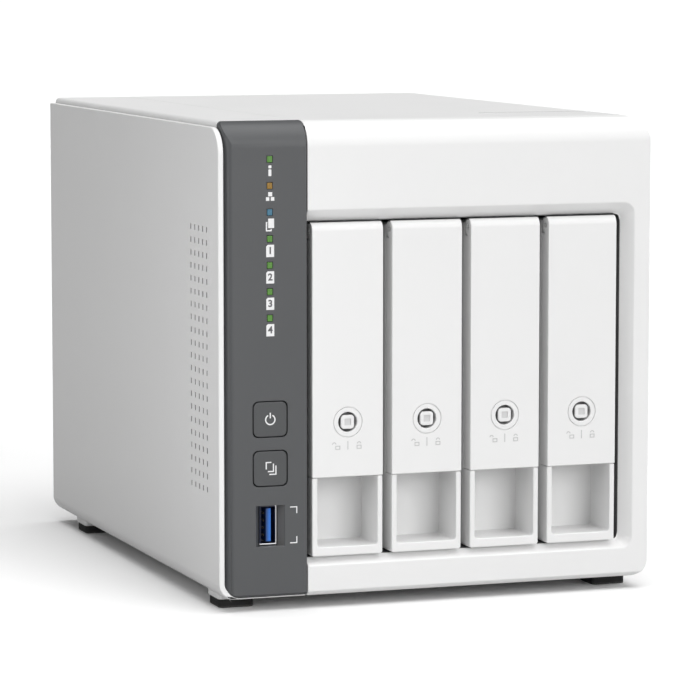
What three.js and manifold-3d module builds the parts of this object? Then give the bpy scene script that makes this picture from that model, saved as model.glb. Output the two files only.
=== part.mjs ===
// Four-bay desktop network attached storage, as separate solids. Millimetres, +Z up, front towards -Y.
// The origin is the middle of the footprint, on the surface that the rubber feet stand on.
import * as THREE from 'three';
import { mergeVertices } from 'three/addons/utils/BufferGeometryUtils.js';
import { ConvexGeometry } from 'three/addons/geometries/ConvexGeometry.js';
import Module from 'manifold-3d';

const wasm = await Module();
wasm.setup();

// Driving dimensions: the whole enclosure
const WIDTH = 160;
const DEPTH = 219;
const HEIGHT = 168.5;
const LEFT = -WIDTH / 2;
const RIGHT = WIDTH / 2;
const FRONT = -DEPTH / 2;
const REAR = DEPTH / 2;
const GAP = 0.3;
const SHELL_WALL = 2.5;
const PANEL_WALL = SHELL_WALL - 0.5;

// Feet and the moulded plinths that they are glued to
const FOOT_SIZE = 12.5;
const FOOT_HEIGHT = 3;
const PLINTH_SIZE = 13.4;
const PLINTH_HEIGHT = 1.5;
const FOOT_R = 1.5;
const FOOT_INSET_X = 9.9;
const FOOT_INSET_FRONT = 17.6;
const FOOT_INSET_REAR = 29.5;
const BODY_BOTTOM = FOOT_HEIGHT + PLINTH_HEIGHT;

// Rounding of the enclosure
const TOP_FRONT_R = 9;
const TOP_SIDE_R = 9;
const BOTTOM_SIDE_R = 6;
const FRONT_UNDERCUT = 1.5;
const TRIM_R = 1.6;

// Front strip
const STRIP_WIDTH = 29.4;
const STRIP_DEPTH = 9;
const STRIP_WALL = 2.2;
const STRIP_EDGE_R = 3.5;
const STRIP_LIP = 0.8;
const STRIP_X0 = LEFT + PANEL_WALL + 0.4;
const STRIP_X1 = STRIP_X0 + STRIP_WIDTH;
const STRIP_Z0 = BODY_BOTTOM + STRIP_LIP;
const CONTROL_X = STRIP_X0 + 16.1;

// Lights, buttons and the front socket in the strip
const LIGHT_COUNT = 7;
const LIGHT_PITCH = 9.05;
const LIGHT_TOP_Z = 155.7;
const LIGHT_WIDTH = 1.8;
const LIGHT_HEIGHT = 2.1;
const BUTTON_SIZE = 12;
const BUTTON_R = 2;
const SWITCH_HEIGHT = 0.6;
const BUTTON_TRAVEL = 1.2;
const POWER_Z = 66.6;
const COPY_Z = 49.6;
const SOCKET_WIDTH = 6.2;
const SOCKET_HEIGHT = 13.6;
const SOCKET_WALL = 0.45;
const SOCKET_Z = 29.6;
const SOCKET_RECESS = 2.8;
const SOCKET_FLARE = 10.4;
const SOCKET_COLLAR = 1.6;

// Drive bays
const BAY_COUNT = 4;
const OPENING_RIGHT = RIGHT - 10;
const OPENING_BOTTOM = 17.5;
const TRAY_X0 = STRIP_X1 + 2;
const TRAY_SPACING = 3.39;
const BAY_PITCH = (OPENING_RIGHT + 0.52 - TRAY_X0) / BAY_COUNT;
const TRAY_WIDTH = BAY_PITCH - TRAY_SPACING;
const TRAY_Z0 = OPENING_BOTTOM + 0.5;
const TRAY_FRONT_DEPTH = 19.3;
const TRAY_WALL = 1.9;
const TRAY_SPLIT_Z = 45.35;
const TRAY_FLOOR = 3.2;
const RAIL_HEIGHT = 3.5;
const RAIL_INSET = 1.6;
const DRIVE_WIDTH = 26.1;
const DRIVE_LENGTH = 147;
const DRIVE_HEIGHT = 101.6;
const DRIVE_Y0 = FRONT + TRAY_FRONT_DEPTH + 0.7;
const DRIVE_Z0 = TRAY_Z0 + GAP + RAIL_HEIGHT + GAP;
const DRIVE_Y1 = DRIVE_Y0 + DRIVE_LENGTH;
const RAIL_TOP_Z = DRIVE_Z0 + DRIVE_HEIGHT + GAP + RAIL_HEIGHT;
const TRAY_Z1 = RAIL_TOP_Z + 6.1;

// Bezel opening round the bays
const OPENING_TOP = TRAY_Z1 + 0.4;
const OPENING_DEPTH = 12;
const CHAMFER_DEPTH = 4;
const CHAMFER_BOTTOM = 2.5;
const OPENING_FRAME = 3;

// Shallow recess for the label on the top
const LABEL_X0 = RIGHT - 50;
const LABEL_WIDTH = 43;
const LABEL_Y0 = FRONT + 10.5;
const LABEL_DEPTH = 30;
const LABEL_SUNK = 0.5;

// Lever, its pivot and its lock
const LEVER_THICK = 3.2;
const LEVER_DEPTH = 6.7;
const LEVER_SKIRT = 1.5;
const PIVOT_R = 3;
const PIN_R = 0.8;
const PIN_CLEARANCE = 0.2;
const PIVOT_Z = TRAY_Z1 - PIVOT_R;
const EAR_WIDTH = 3;
const EAR_INSET = 4;
const EAR_R = 1.5;
const EAR_ROOM = EAR_R + 0.6;
const EAR_ARM = 1.2;
const KNUCKLE_LIP = 0.4;
const LOCK_Z = 64.5;
const LOCK_WELL_R = 3.5;
const LOCK_RING_R = 5.2;
const LOCK_BOSS = 4.8;

// Drive cage and the guides in it
const SHEET = 1.2;
const CAGE_X0 = STRIP_X1 + 0.4;
const CAGE_X1 = OPENING_RIGHT + 0.2 + SHEET;
const CAGE_Z0 = BODY_BOTTOM + SHELL_WALL + GAP;
const CAGE_Y0 = FRONT + OPENING_DEPTH + GAP;
const CAGE_TOP_Z = RAIL_TOP_Z + 5.5;
const GUIDE_TOP_Z = TRAY_Z0;
const GUIDE_Y0 = FRONT + TRAY_FRONT_DEPTH + 1.7;
const GUIDE_Y1 = DRIVE_Y1 + 3;
const RIB_CLEARANCE = 0.4;
const RIB_HEIGHT = 3;

// Rear wall, fan and boards
const REAR_PANEL_Y1 = REAR - 2.3;
const REAR_PANEL_Y0 = REAR_PANEL_Y1 - SHEET;
const FAN_SIZE = 120;
const FAN_DEPTH = 25;
const FAN_BORE_R = 58;
const FAN_HUB_R = 20;
const FAN_HOLE_PITCH = 105;
const FAN_X = CAGE_X0 + SHEET + 0.6 + FAN_SIZE / 2;
const FAN_Z = 88;
const FAN_Y0 = REAR_PANEL_Y0 - FAN_DEPTH;
const GRILLE_PITCH = 12.4;
const GRILLE_FLAT = 10.4;
const BOARD_THICK = 1.6;
const BACKPLANE_Y = DRIVE_Y1 + 9;
const MAIN_BOARD_X = CAGE_X0 - 4;
const PORT_REACH = 1;

// Main board and the parts on it, placed from the front and from the table
const BOARD_Y0 = FRONT + 25;
const BOARD_Y1 = REAR_PANEL_Y0 - 1;
const BOARD_Z0 = 20;
const BOARD_Z1 = 150;
const STANDOFF_R = 3;
const STANDOFFS_Y = [FRONT + 35, REAR - 20];
const STANDOFFS_Z = [26, 125];
const CHIP_HEIGHT = 1.4;
const HEATSINK_Y0 = FRONT + 95;
const HEATSINK_Z0 = 90;
const HEATSINK_SIZE = 45;
const HEATSINK_BASE = 4;
const HEATSINK_HEIGHT = 15;
const FIN_COUNT = 9;
const FIN_THICK = 1.4;
const MEMORY_Y0 = FRONT + 60;
const MEMORY_Z0 = 40;
const MEMORY_LENGTH = 68;
const CELL_Y = FRONT + 165;
const CELL_Z = 44;
const CELL_R = 10;

// Vents in the side panel
const VENT_COLUMNS = 5;
const VENT_ROWS = 21;
const VENT_PITCH_Y = 4.55;
const VENT_PITCH_Z = 4.49;
const VENT_WIDTH = 1.2;
const VENT_HEIGHT = 1.9;
const VENT_Y0 = FRONT + 13.4;
const VENT_TOP_Z = 131.15;

// Colours and finishes
function finish(color, roughness, metalness = 0) {
  return new THREE.MeshStandardMaterial({ color, roughness, metalness });
}

const WHITE_PLASTIC = finish(0xf0f0ee, 0.45);
const GREY_PLASTIC = finish(0x606264, 0.5);
const BUTTON_PLASTIC = finish(0x57595b, 0.45);
const BLACK_RUBBER = finish(0x1a1a1a, 0.85);
const CLEAR_PLASTIC = finish(0xdfe6df, 0.2);
const GREEN_BOARD = finish(0x1f5a38, 0.55);
const SHEET_STEEL = finish(0xb9bcbe, 0.4, 0.85);
const BRIGHT_STEEL = finish(0xcfd1d3, 0.25, 0.95);
const BLACK_PLASTIC = finish(0x232425, 0.5);
const BLUE_PLASTIC = finish(0x1c4fd0, 0.35);
const CAST_ALUMINIUM = finish(0x9b9ea1, 0.4, 0.8);

// ---- solids from three.js geometry ----

function toSolid(geometry) {
  geometry.deleteAttribute('normal');
  geometry.deleteAttribute('uv');
  const merged = mergeVertices(geometry, 1e-4);
  const vertProperties = new Float32Array(merged.attributes.position.array);
  const triVerts = new Uint32Array(merged.index.array);
  return new wasm.Manifold(new wasm.Mesh({ numProp: 3, vertProperties, triVerts }));
}

function box(x0, x1, y0, y1, z0, z1) {
  const geometry = new THREE.BoxGeometry(x1 - x0, y1 - y0, z1 - z0);
  geometry.translate((x0 + x1) / 2, (y0 + y1) / 2, (z0 + z1) / 2);
  return toSolid(geometry);
}

// A cylinder of radius r from a to b along one axis, centred on (u, v) of the other two in X, Y, Z order
function rod(axis, u, v, a, b, r, sides = 16) {
  const geometry = new THREE.CylinderGeometry(r, r, b - a, sides);
  const middle = (a + b) / 2;
  if (axis === 'x') {
    geometry.rotateZ(Math.PI / 2);
    geometry.translate(middle, u, v);
  } else if (axis === 'y') {
    geometry.translate(u, middle, v);
  } else {
    geometry.rotateX(Math.PI / 2);
    geometry.translate(u, v, middle);
  }
  return toSolid(geometry);
}

// Outline of a rectangle whose corners are rounded by [low-low, high-low, high-high, low-high]
function outline(a0, a1, b0, b1, [r00, r10, r11, r01]) {
  const shape = new THREE.Shape();
  shape.moveTo(a0 + r00, b0);
  shape.lineTo(a1 - r10, b0);
  if (r10 > 0) shape.absarc(a1 - r10, b0 + r10, r10, -Math.PI / 2, 0, false);
  shape.lineTo(a1, b1 - r11);
  if (r11 > 0) shape.absarc(a1 - r11, b1 - r11, r11, 0, Math.PI / 2, false);
  shape.lineTo(a0 + r01, b1);
  if (r01 > 0) shape.absarc(a0 + r01, b1 - r01, r01, Math.PI / 2, Math.PI, false);
  shape.lineTo(a0, b0 + r00);
  if (r00 > 0) shape.absarc(a0 + r00, b0 + r00, r00, Math.PI, Math.PI * 1.5, false);
  return shape;
}

// The same, centred on (u, v) with one radius at all corners
function centred(u, v, width, height, r) {
  return outline(u - width / 2, u + width / 2, v - height / 2, v + height / 2, [r, r, r, r]);
}

// An outline in the other two axes, pushed from start to end along one axis
function prism(axis, shape, start, end, curveSegments = 6) {
  const options = { depth: end - start, bevelEnabled: false, curveSegments };
  const geometry = new THREE.ExtrudeGeometry(shape, options);
  if (axis === 'x') {
    const cyclic = new THREE.Matrix4().makeBasis(
      new THREE.Vector3(0, 1, 0),
      new THREE.Vector3(0, 0, 1),
      new THREE.Vector3(1, 0, 0),
    );
    geometry.applyMatrix4(cyclic);
    geometry.translate(start, 0, 0);
  } else if (axis === 'y') {
    geometry.rotateX(Math.PI / 2);
    geometry.translate(0, end, 0);
  } else {
    geometry.translate(0, 0, start);
  }
  return toSolid(geometry);
}

function join(solids) {
  return solids.reduce((sum, next) => sum.add(next));
}

const assembly = new THREE.Group();

function place(parent, name, solid, material) {
  const raw = solid.getMesh();
  const geometry = new THREE.BufferGeometry();
  geometry.setAttribute('position', new THREE.BufferAttribute(new Float32Array(raw.vertProperties), 3));
  geometry.setIndex(new THREE.BufferAttribute(new Uint32Array(raw.triVerts), 1));
  geometry.computeVertexNormals();
  const mesh = new THREE.Mesh(geometry, material);
  mesh.name = name;
  parent.add(mesh);
  return mesh;
}

// ---- enclosure ----

function plinth(x, y) {
  return prism('z', centred(x, y, PLINTH_SIZE, PLINTH_SIZE, FOOT_R), FOOT_HEIGHT, BODY_BOTTOM + 1, 3);
}

const FOOT_FRONT_Y = FRONT + FOOT_INSET_FRONT;
const FOOT_REAR_Y = REAR - FOOT_INSET_REAR;

// Front bezel, top and right side in one moulding, with the recessed opening round the bays
function mainCover() {
  const x0 = STRIP_X1 + GAP;
  const inner = [0, BOTTOM_SIDE_R - SHELL_WALL, TOP_SIDE_R - SHELL_WALL, 0];
  const outer = outline(x0, RIGHT, BODY_BOTTOM, HEIGHT, [0, BOTTOM_SIDE_R, TOP_SIDE_R, 0]);
  const skin = prism('y', outer, FRONT, REAR);
  const nose = prism('x', sideOutline(HEIGHT), x0 - 1, RIGHT + 1);
  const hollow = prism(
    'y',
    outline(x0 - 5, RIGHT - SHELL_WALL, BODY_BOTTOM + SHELL_WALL, HEIGHT - SHELL_WALL, inner),
    FRONT + OPENING_FRAME,
    REAR + 5,
  );
  const frame = box(
    x0,
    OPENING_RIGHT + OPENING_FRAME,
    FRONT,
    FRONT + OPENING_DEPTH,
    OPENING_BOTTOM - OPENING_FRAME,
    OPENING_TOP + OPENING_FRAME,
  );
  const opening = prism(
    'y',
    outline(x0 - 5, OPENING_RIGHT, OPENING_BOTTOM, OPENING_TOP, [0, 1.5, 1.5, 0]),
    FRONT - 5,
    FRONT + OPENING_DEPTH + 5,
    3,
  );
  const label = outline(LABEL_X0, LABEL_X0 + LABEL_WIDTH, LABEL_Y0, LABEL_Y0 + LABEL_DEPTH, [2, 2, 2, 2]);
  const labelRecess = prism('z', label, HEIGHT - LABEL_SUNK, HEIGHT + 1, 3);
  let cover = skin.intersect(nose).subtract(hollow);
  cover = cover.add(frame.intersect(nose)).subtract(opening).subtract(openingChamfer(x0));
  cover = cover.subtract(labelRecess).add(plinth(RIGHT - FOOT_INSET_X, FOOT_FRONT_Y));
  return cover.add(plinth(RIGHT - FOOT_INSET_X, FOOT_REAR_Y));
}

// Side outline of the enclosure in Y and Z: large radius at the top front, small undercut at the bottom front
function sideOutline(top) {
  const shape = new THREE.Shape();
  shape.moveTo(FRONT + FRONT_UNDERCUT, BODY_BOTTOM - 5);
  shape.lineTo(REAR + 1, BODY_BOTTOM - 5);
  shape.lineTo(REAR + 1, top);
  shape.lineTo(FRONT + TOP_FRONT_R, top);
  shape.absarc(FRONT + TOP_FRONT_R, top - TOP_FRONT_R, TOP_FRONT_R, Math.PI / 2, Math.PI, false);
  shape.lineTo(FRONT, BODY_BOTTOM + FRONT_UNDERCUT);
  shape.lineTo(FRONT + FRONT_UNDERCUT, BODY_BOTTOM);
  return shape;
}

// Sloped faces from the bezel's front face in to the opening, with rounder corners at the front
function openingChamfer(x0) {
  const grow = CHAMFER_DEPTH;
  const rings = [
    { y: FRONT - 1, add: grow + 1, low: CHAMFER_BOTTOM * 1.25, r: 4.5 },
    { y: FRONT + CHAMFER_DEPTH, add: 0, low: 0, r: 1.5 },
  ];
  const points = [];
  for (const ring of rings) {
    const shape = outline(
      x0 - 5,
      OPENING_RIGHT + ring.add,
      OPENING_BOTTOM - ring.low,
      OPENING_TOP + ring.add,
      [0, ring.r, ring.r, 0],
    );
    for (const point of shape.getPoints(4)) {
      points.push(new THREE.Vector3(point.x, ring.y, point.y));
    }
  }
  return toSolid(new ConvexGeometry(points));
}

// Left side and its turned-in bottom flange, with the block of small vents and the pocket for the strip
function sidePanel() {
  const top = HEIGHT - 2;
  const x1 = STRIP_X1;
  const innerR = BOTTOM_SIDE_R - PANEL_WALL;
  const outer = prism('y', outline(LEFT, x1, BODY_BOTTOM, top, [BOTTOM_SIDE_R, 0, 0, 0]), FRONT, REAR);
  const inner = prism(
    'y',
    outline(LEFT + PANEL_WALL, x1 + 5, BODY_BOTTOM + PANEL_WALL, top + 5, [innerR, 0, 0, 0]),
    FRONT - 5,
    REAR + 5,
  );
  const pocket = prism(
    'y',
    outline(STRIP_X0 - GAP, x1 + 5, STRIP_Z0 - GAP, top + 5, [BOTTOM_SIDE_R, 0, 0, 0]),
    FRONT - 5,
    FRONT + STRIP_DEPTH + GAP,
  );
  const vents = [];
  for (let column = 0; column < VENT_COLUMNS; column += 1) {
    for (let row = 0; row < VENT_ROWS; row += 1) {
      const y = VENT_Y0 + column * VENT_PITCH_Y;
      const z = VENT_TOP_Z - row * VENT_PITCH_Z;
      vents.push(box(
        LEFT - 1,
        LEFT + PANEL_WALL + 1,
        y - VENT_WIDTH / 2,
        y + VENT_WIDTH / 2,
        z - VENT_HEIGHT / 2,
        z + VENT_HEIGHT / 2,
      ));
    }
  }
  let panel = outer.subtract(inner).intersect(prism('x', sideOutline(top), LEFT - 1, x1 + 1));
  panel = panel.subtract(pocket).subtract(wasm.Manifold.union(vents));
  return panel.add(plinth(LEFT + FOOT_INSET_X, FOOT_FRONT_Y)).add(plinth(LEFT + FOOT_INSET_X, FOOT_REAR_Y));
}

function topTrim() {
  const shape = outline(LEFT + PANEL_WALL + GAP, STRIP_X1, HEIGHT - SHELL_WALL, HEIGHT, [0, 0, 0, TRIM_R]);
  return prism('y', shape, FRONT + STRIP_DEPTH + GAP, REAR, 4);
}

function stripHole(width, height, r, z) {
  return prism('y', centred(CONTROL_X, z, width, height, r), FRONT - 2, FRONT + STRIP_DEPTH - 1, 3);
}

function frontStrip() {
  const y1 = FRONT + STRIP_DEPTH;
  const corners = [BOTTOM_SIDE_R - 0.5, 1, 0, TRIM_R];
  const face = prism('y', outline(STRIP_X0, STRIP_X1, STRIP_Z0, HEIGHT, corners), FRONT, y1);
  const edge = prism('z', outline(STRIP_X0, STRIP_X1, FRONT, y1, [STRIP_EDGE_R, 0, 0, 0]), 0, HEIGHT + 1);
  const hollow = box(
    STRIP_X0 + STRIP_WALL,
    STRIP_X1 - STRIP_WALL,
    FRONT + STRIP_WALL,
    y1 + 1,
    STRIP_Z0 + 3,
    HEIGHT - 4,
  );
  let strip = face.intersect(prism('x', sideOutline(HEIGHT), STRIP_X0 - 1, STRIP_X1 + 1)).intersect(edge);
  strip = strip.subtract(hollow).add(socketCollar());
  for (let light = 0; light < LIGHT_COUNT; light += 1) {
    const z = LIGHT_TOP_Z - light * LIGHT_PITCH;
    strip = strip.subtract(stripHole(LIGHT_WIDTH + GAP, LIGHT_HEIGHT + GAP, 0, z));
  }
  for (const z of [POWER_Z, COPY_Z]) {
    strip = strip.subtract(stripHole(BUTTON_SIZE + 2 * GAP, BUTTON_SIZE + 2 * GAP, BUTTON_R, z));
  }
  strip = strip.subtract(socketRecess());
  return strip.subtract(stripHole(SOCKET_WIDTH + 2 * GAP, SOCKET_HEIGHT + 2 * GAP, 0.4, SOCKET_Z));
}

// Thicker wall behind the front socket's recess
function socketCollar() {
  const halfW = SOCKET_FLARE / 2 + SOCKET_COLLAR;
  const halfH = SOCKET_HEIGHT / 2 + GAP + SOCKET_COLLAR;
  const y0 = FRONT + STRIP_WALL - 0.5;
  const y1 = FRONT + SOCKET_RECESS + SOCKET_COLLAR;
  return box(CONTROL_X - halfW, CONTROL_X + halfW, y0, y1, SOCKET_Z - halfH, SOCKET_Z + halfH);
}

// Recess with sloping left and right flanks, down to the mouth of the front socket
function socketRecess() {
  const halfH = SOCKET_HEIGHT / 2 + GAP;
  const mouth = SOCKET_WIDTH / 2 + GAP;
  const slope = (SOCKET_FLARE / 2 - mouth) / SOCKET_RECESS;
  const shape = new THREE.Shape([
    new THREE.Vector2(CONTROL_X - SOCKET_FLARE / 2 - slope, FRONT - 1),
    new THREE.Vector2(CONTROL_X + SOCKET_FLARE / 2 + slope, FRONT - 1),
    new THREE.Vector2(CONTROL_X + mouth, FRONT + SOCKET_RECESS),
    new THREE.Vector2(CONTROL_X - mouth, FRONT + SOCKET_RECESS),
  ]);
  return prism('z', shape, SOCKET_Z - halfH, SOCKET_Z + halfH);
}

// Sheet wall across the back: fan grille, port cut-outs and a slot for a security lock
const PORTS = {
  dc_jack: { z: 30, height: 12, reach: 11 },
  lan_port_1: { z: 52, height: 16, reach: 13.5 },
  lan_port_2: { z: 73, height: 16, reach: 13.5 },
  usb_rear: { z: 97, height: 13.2, reach: 15.6 },
};
const RESET_Z = 114;
const RESET_X = MAIN_BOARD_X - 3;
const LOCK_SLOT_Z = 132;

function rearPanel() {
  const x0 = LEFT + PANEL_WALL + GAP;
  const x1 = RIGHT - SHELL_WALL - GAP;
  const corner = [BOTTOM_SIDE_R - 1.5, BOTTOM_SIDE_R - 2, TOP_SIDE_R - 2, 0];
  const shape = outline(x0, x1, CAGE_Z0, HEIGHT - SHELL_WALL - GAP, corner);
  for (const port of Object.values(PORTS)) {
    const a0 = MAIN_BOARD_X - port.reach - GAP;
    const half = port.height / 2 + GAP;
    shape.holes.push(outline(a0, MAIN_BOARD_X + GAP, port.z - half, port.z + half, [0, 0, 0, 0]));
  }
  shape.holes.push(outline(RESET_X - 1.3, RESET_X + 1.3, RESET_Z - 1.3, RESET_Z + 1.3, [0, 0, 0, 0]));
  shape.holes.push(outline(RESET_X - 7, RESET_X, LOCK_SLOT_Z - 1.5, LOCK_SLOT_Z + 1.5, [0, 0, 0, 0]));
  const rowStep = GRILLE_PITCH * Math.sqrt(3) / 2;
  const reach = Math.floor((FAN_BORE_R - GRILLE_FLAT / 2) / rowStep);
  for (let row = -reach; row <= reach; row += 1) {
    const shift = (Math.abs(row) % 2) * GRILLE_PITCH / 2;
    for (let column = -6; column <= 6; column += 1) {
      const x = column * GRILLE_PITCH + shift;
      const z = row * rowStep;
      if (Math.hypot(x, z) < FAN_BORE_R - GRILLE_FLAT / 2) shape.holes.push(hexagon(FAN_X + x, FAN_Z + z));
    }
  }
  let panel = prism('y', shape, REAR_PANEL_Y0, REAR_PANEL_Y1, 3);
  for (const [x, z] of fanCorners()) {
    const hole = rod('y', x, z, REAR_PANEL_Y0 - 1, REAR_PANEL_Y1 + 1, FAN_SCREW_R + PIN_CLEARANCE, 12);
    panel = panel.subtract(hole);
  }
  return panel;
}

function hexagon(x, z) {
  const r = GRILLE_FLAT / Math.sqrt(3);
  const points = [];
  for (let side = 0; side < 6; side += 1) {
    const angle = Math.PI / 6 + side * Math.PI / 3;
    points.push(new THREE.Vector2(x + r * Math.cos(angle), z + r * Math.sin(angle)));
  }
  return new THREE.Path(points);
}

const FAN_SCREW_R = 1.8;
const SCREW_HEAD_R = 3.4;
const SCREW_HEAD_HEIGHT = 1.9;

function fanCorners() {
  const half = FAN_HOLE_PITCH / 2;
  const corners = [];
  for (const z of [FAN_Z - half, FAN_Z + half]) {
    for (const x of [FAN_X - half, FAN_X + half]) corners.push([x, z]);
  }
  return corners;
}

function foot(x, y) {
  return prism('z', centred(x, y, FOOT_SIZE, FOOT_SIZE, FOOT_R), 0, FOOT_HEIGHT, 3);
}

// ---- controls in the strip ----

const STRIP_BOARD_Y = FRONT + STRIP_DEPTH;

function pushButton(z) {
  const square = (size) => centred(CONTROL_X, z, size, size, BUTTON_R);
  const flangeY = FRONT + STRIP_WALL + GAP;
  const stemEnd = STRIP_BOARD_Y - SWITCH_HEIGHT - BUTTON_TRAVEL - 0.2;
  return join([
    prism('y', square(BUTTON_SIZE), FRONT, flangeY + 1, 3),
    prism('y', square(BUTTON_SIZE + 2.4), flangeY, flangeY + 1, 3),
    rod('y', CONTROL_X, z, flangeY + 1, stemEnd, 1.5, 12),
  ]);
}

function lightGuide() {
  const bottomZ = LIGHT_TOP_Z - (LIGHT_COUNT - 1) * LIGHT_PITCH;
  const backY = FRONT + STRIP_WALL + GAP;
  const pieces = [box(CONTROL_X - 4, CONTROL_X + 4, backY, STRIP_BOARD_Y, bottomZ - 3, LIGHT_TOP_Z + 3)];
  for (let light = 0; light < LIGHT_COUNT; light += 1) {
    const z = LIGHT_TOP_Z - light * LIGHT_PITCH;
    pieces.push(box(
      CONTROL_X - LIGHT_WIDTH / 2,
      CONTROL_X + LIGHT_WIDTH / 2,
      FRONT + 0.1,
      FRONT + STRIP_WALL + 1,
      z - LIGHT_HEIGHT / 2,
      z + LIGHT_HEIGHT / 2,
    ));
  }
  return join(pieces);
}

function frontBoard() {
  const y0 = STRIP_BOARD_Y;
  const pieces = [box(STRIP_X0 + 0.4, STRIP_X1 - 0.4, y0, y0 + BOARD_THICK, STRIP_Z0 + 8, HEIGHT - 9)];
  for (const z of [POWER_Z, COPY_Z]) {
    pieces.push(box(CONTROL_X - 3, CONTROL_X + 3, y0 - SWITCH_HEIGHT, y0 + 1, z - 3, z + 3));
  }
  return join(pieces);
}

const SOCKET_Y0 = FRONT + SOCKET_RECESS;

function socketShell() {
  const halfW = SOCKET_WIDTH / 2;
  const halfH = SOCKET_HEIGHT / 2;
  const outer = box(
    CONTROL_X - halfW,
    CONTROL_X + halfW,
    SOCKET_Y0,
    STRIP_BOARD_Y,
    SOCKET_Z - halfH,
    SOCKET_Z + halfH,
  );
  const inner = box(
    CONTROL_X - halfW + SOCKET_WALL,
    CONTROL_X + halfW - SOCKET_WALL,
    SOCKET_Y0 - 1,
    STRIP_BOARD_Y - 0.6,
    SOCKET_Z - halfH + SOCKET_WALL,
    SOCKET_Z + halfH - SOCKET_WALL,
  );
  return outer.subtract(inner);
}

function socketTongue() {
  const x0 = CONTROL_X - SOCKET_WIDTH / 2 + SOCKET_WALL + 0.6;
  const half = SOCKET_HEIGHT / 2 - SOCKET_WALL - 0.6;
  return box(x0, x0 + 1.9, SOCKET_Y0 + 0.5, STRIP_BOARD_Y - 0.6, SOCKET_Z - half, SOCKET_Z + half);
}

// ---- drive cage ----

const trayX = (bay) => TRAY_X0 + bay * BAY_PITCH;

function driveCage() {
  const floor = box(CAGE_X0, CAGE_X1, CAGE_Y0, REAR_PANEL_Y0, CAGE_Z0, CAGE_Z0 + SHEET);
  const leftWall = box(CAGE_X0, CAGE_X0 + SHEET, CAGE_Y0, REAR_PANEL_Y0, CAGE_Z0, CAGE_TOP_Z);
  const rightWall = box(CAGE_X1 - SHEET, CAGE_X1, CAGE_Y0, FAN_Y0 - 2, CAGE_Z0, CAGE_TOP_Z);
  const standoffs = [];
  for (const y of STANDOFFS_Y) {
    for (const z of STANDOFFS_Z) {
      standoffs.push(rod('x', y, z, MAIN_BOARD_X + BOARD_THICK, CAGE_X0 + 0.5, STANDOFF_R, 12));
    }
  }
  return join([floor, leftWall, rightWall, ...standoffs]);
}

function cageTop() {
  return box(CAGE_X0, CAGE_X1, CAGE_Y0, FAN_Y0 - 2, CAGE_TOP_Z, CAGE_TOP_Z + SHEET);
}

// Ribs between neighbouring trays, and a wider one between the last tray and the cage wall
function ribSpans() {
  const spans = [];
  for (let bay = 0; bay < BAY_COUNT - 1; bay += 1) {
    spans.push([trayX(bay) + TRAY_WIDTH + RIB_CLEARANCE, trayX(bay + 1) - RIB_CLEARANCE]);
  }
  spans.push([trayX(BAY_COUNT - 1) + TRAY_WIDTH + RIB_CLEARANCE, CAGE_X1 - SHEET - GAP]);
  return spans;
}

function guideBottom() {
  const x0 = CAGE_X0 + SHEET + GAP;
  const x1 = CAGE_X1 - SHEET - GAP;
  const floorZ = CAGE_Z0 + SHEET;
  const pieces = [box(x0, x1, GUIDE_Y0, GUIDE_Y1, GUIDE_TOP_Z - 2.5, GUIDE_TOP_Z)];
  for (const [a, b] of ribSpans()) {
    pieces.push(box(a, b, GUIDE_Y0, GUIDE_Y1, floorZ, GUIDE_TOP_Z + RIB_HEIGHT));
  }
  pieces.push(box(x0, x0 + 2, GUIDE_Y0, GUIDE_Y1, floorZ, GUIDE_TOP_Z));
  return join(pieces);
}

function guideTop() {
  const x0 = CAGE_X0 + SHEET + GAP;
  const x1 = CAGE_X1 - SHEET - GAP;
  const plateZ = RAIL_TOP_Z + GAP;
  const pieces = [box(x0, x1, GUIDE_Y0, GUIDE_Y1, plateZ, plateZ + 2)];
  for (const [a, b] of ribSpans()) {
    pieces.push(box(a, b, GUIDE_Y0, GUIDE_Y1, plateZ - RIB_HEIGHT, CAGE_TOP_Z));
  }
  pieces.push(box(x0, x0 + 2, GUIDE_Y0, GUIDE_Y1, plateZ, CAGE_TOP_Z));
  return join(pieces);
}

function backplane() {
  const x0 = CAGE_X0 + SHEET + GAP;
  const x1 = CAGE_X1 - SHEET - GAP;
  return box(x0, x1, BACKPLANE_Y, BACKPLANE_Y + BOARD_THICK, CAGE_Z0 + SHEET, CAGE_TOP_Z - 6);
}

function driveSocket(bay) {
  const x = trayX(bay) + TRAY_WIDTH / 2;
  const body = box(x - 3.5, x + 3.5, DRIVE_Y1 + GAP, BACKPLANE_Y, DRIVE_Z0 + 6, DRIVE_Z0 + 50);
  return body.subtract(box(x - 1.4, x + 1.4, DRIVE_Y1, DRIVE_Y1 + 5, DRIVE_Z0 + 9, DRIVE_Z0 + 47));
}

// ---- one bay: tray, lever, lock, pin and drive, in the bay's own place ----

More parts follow.
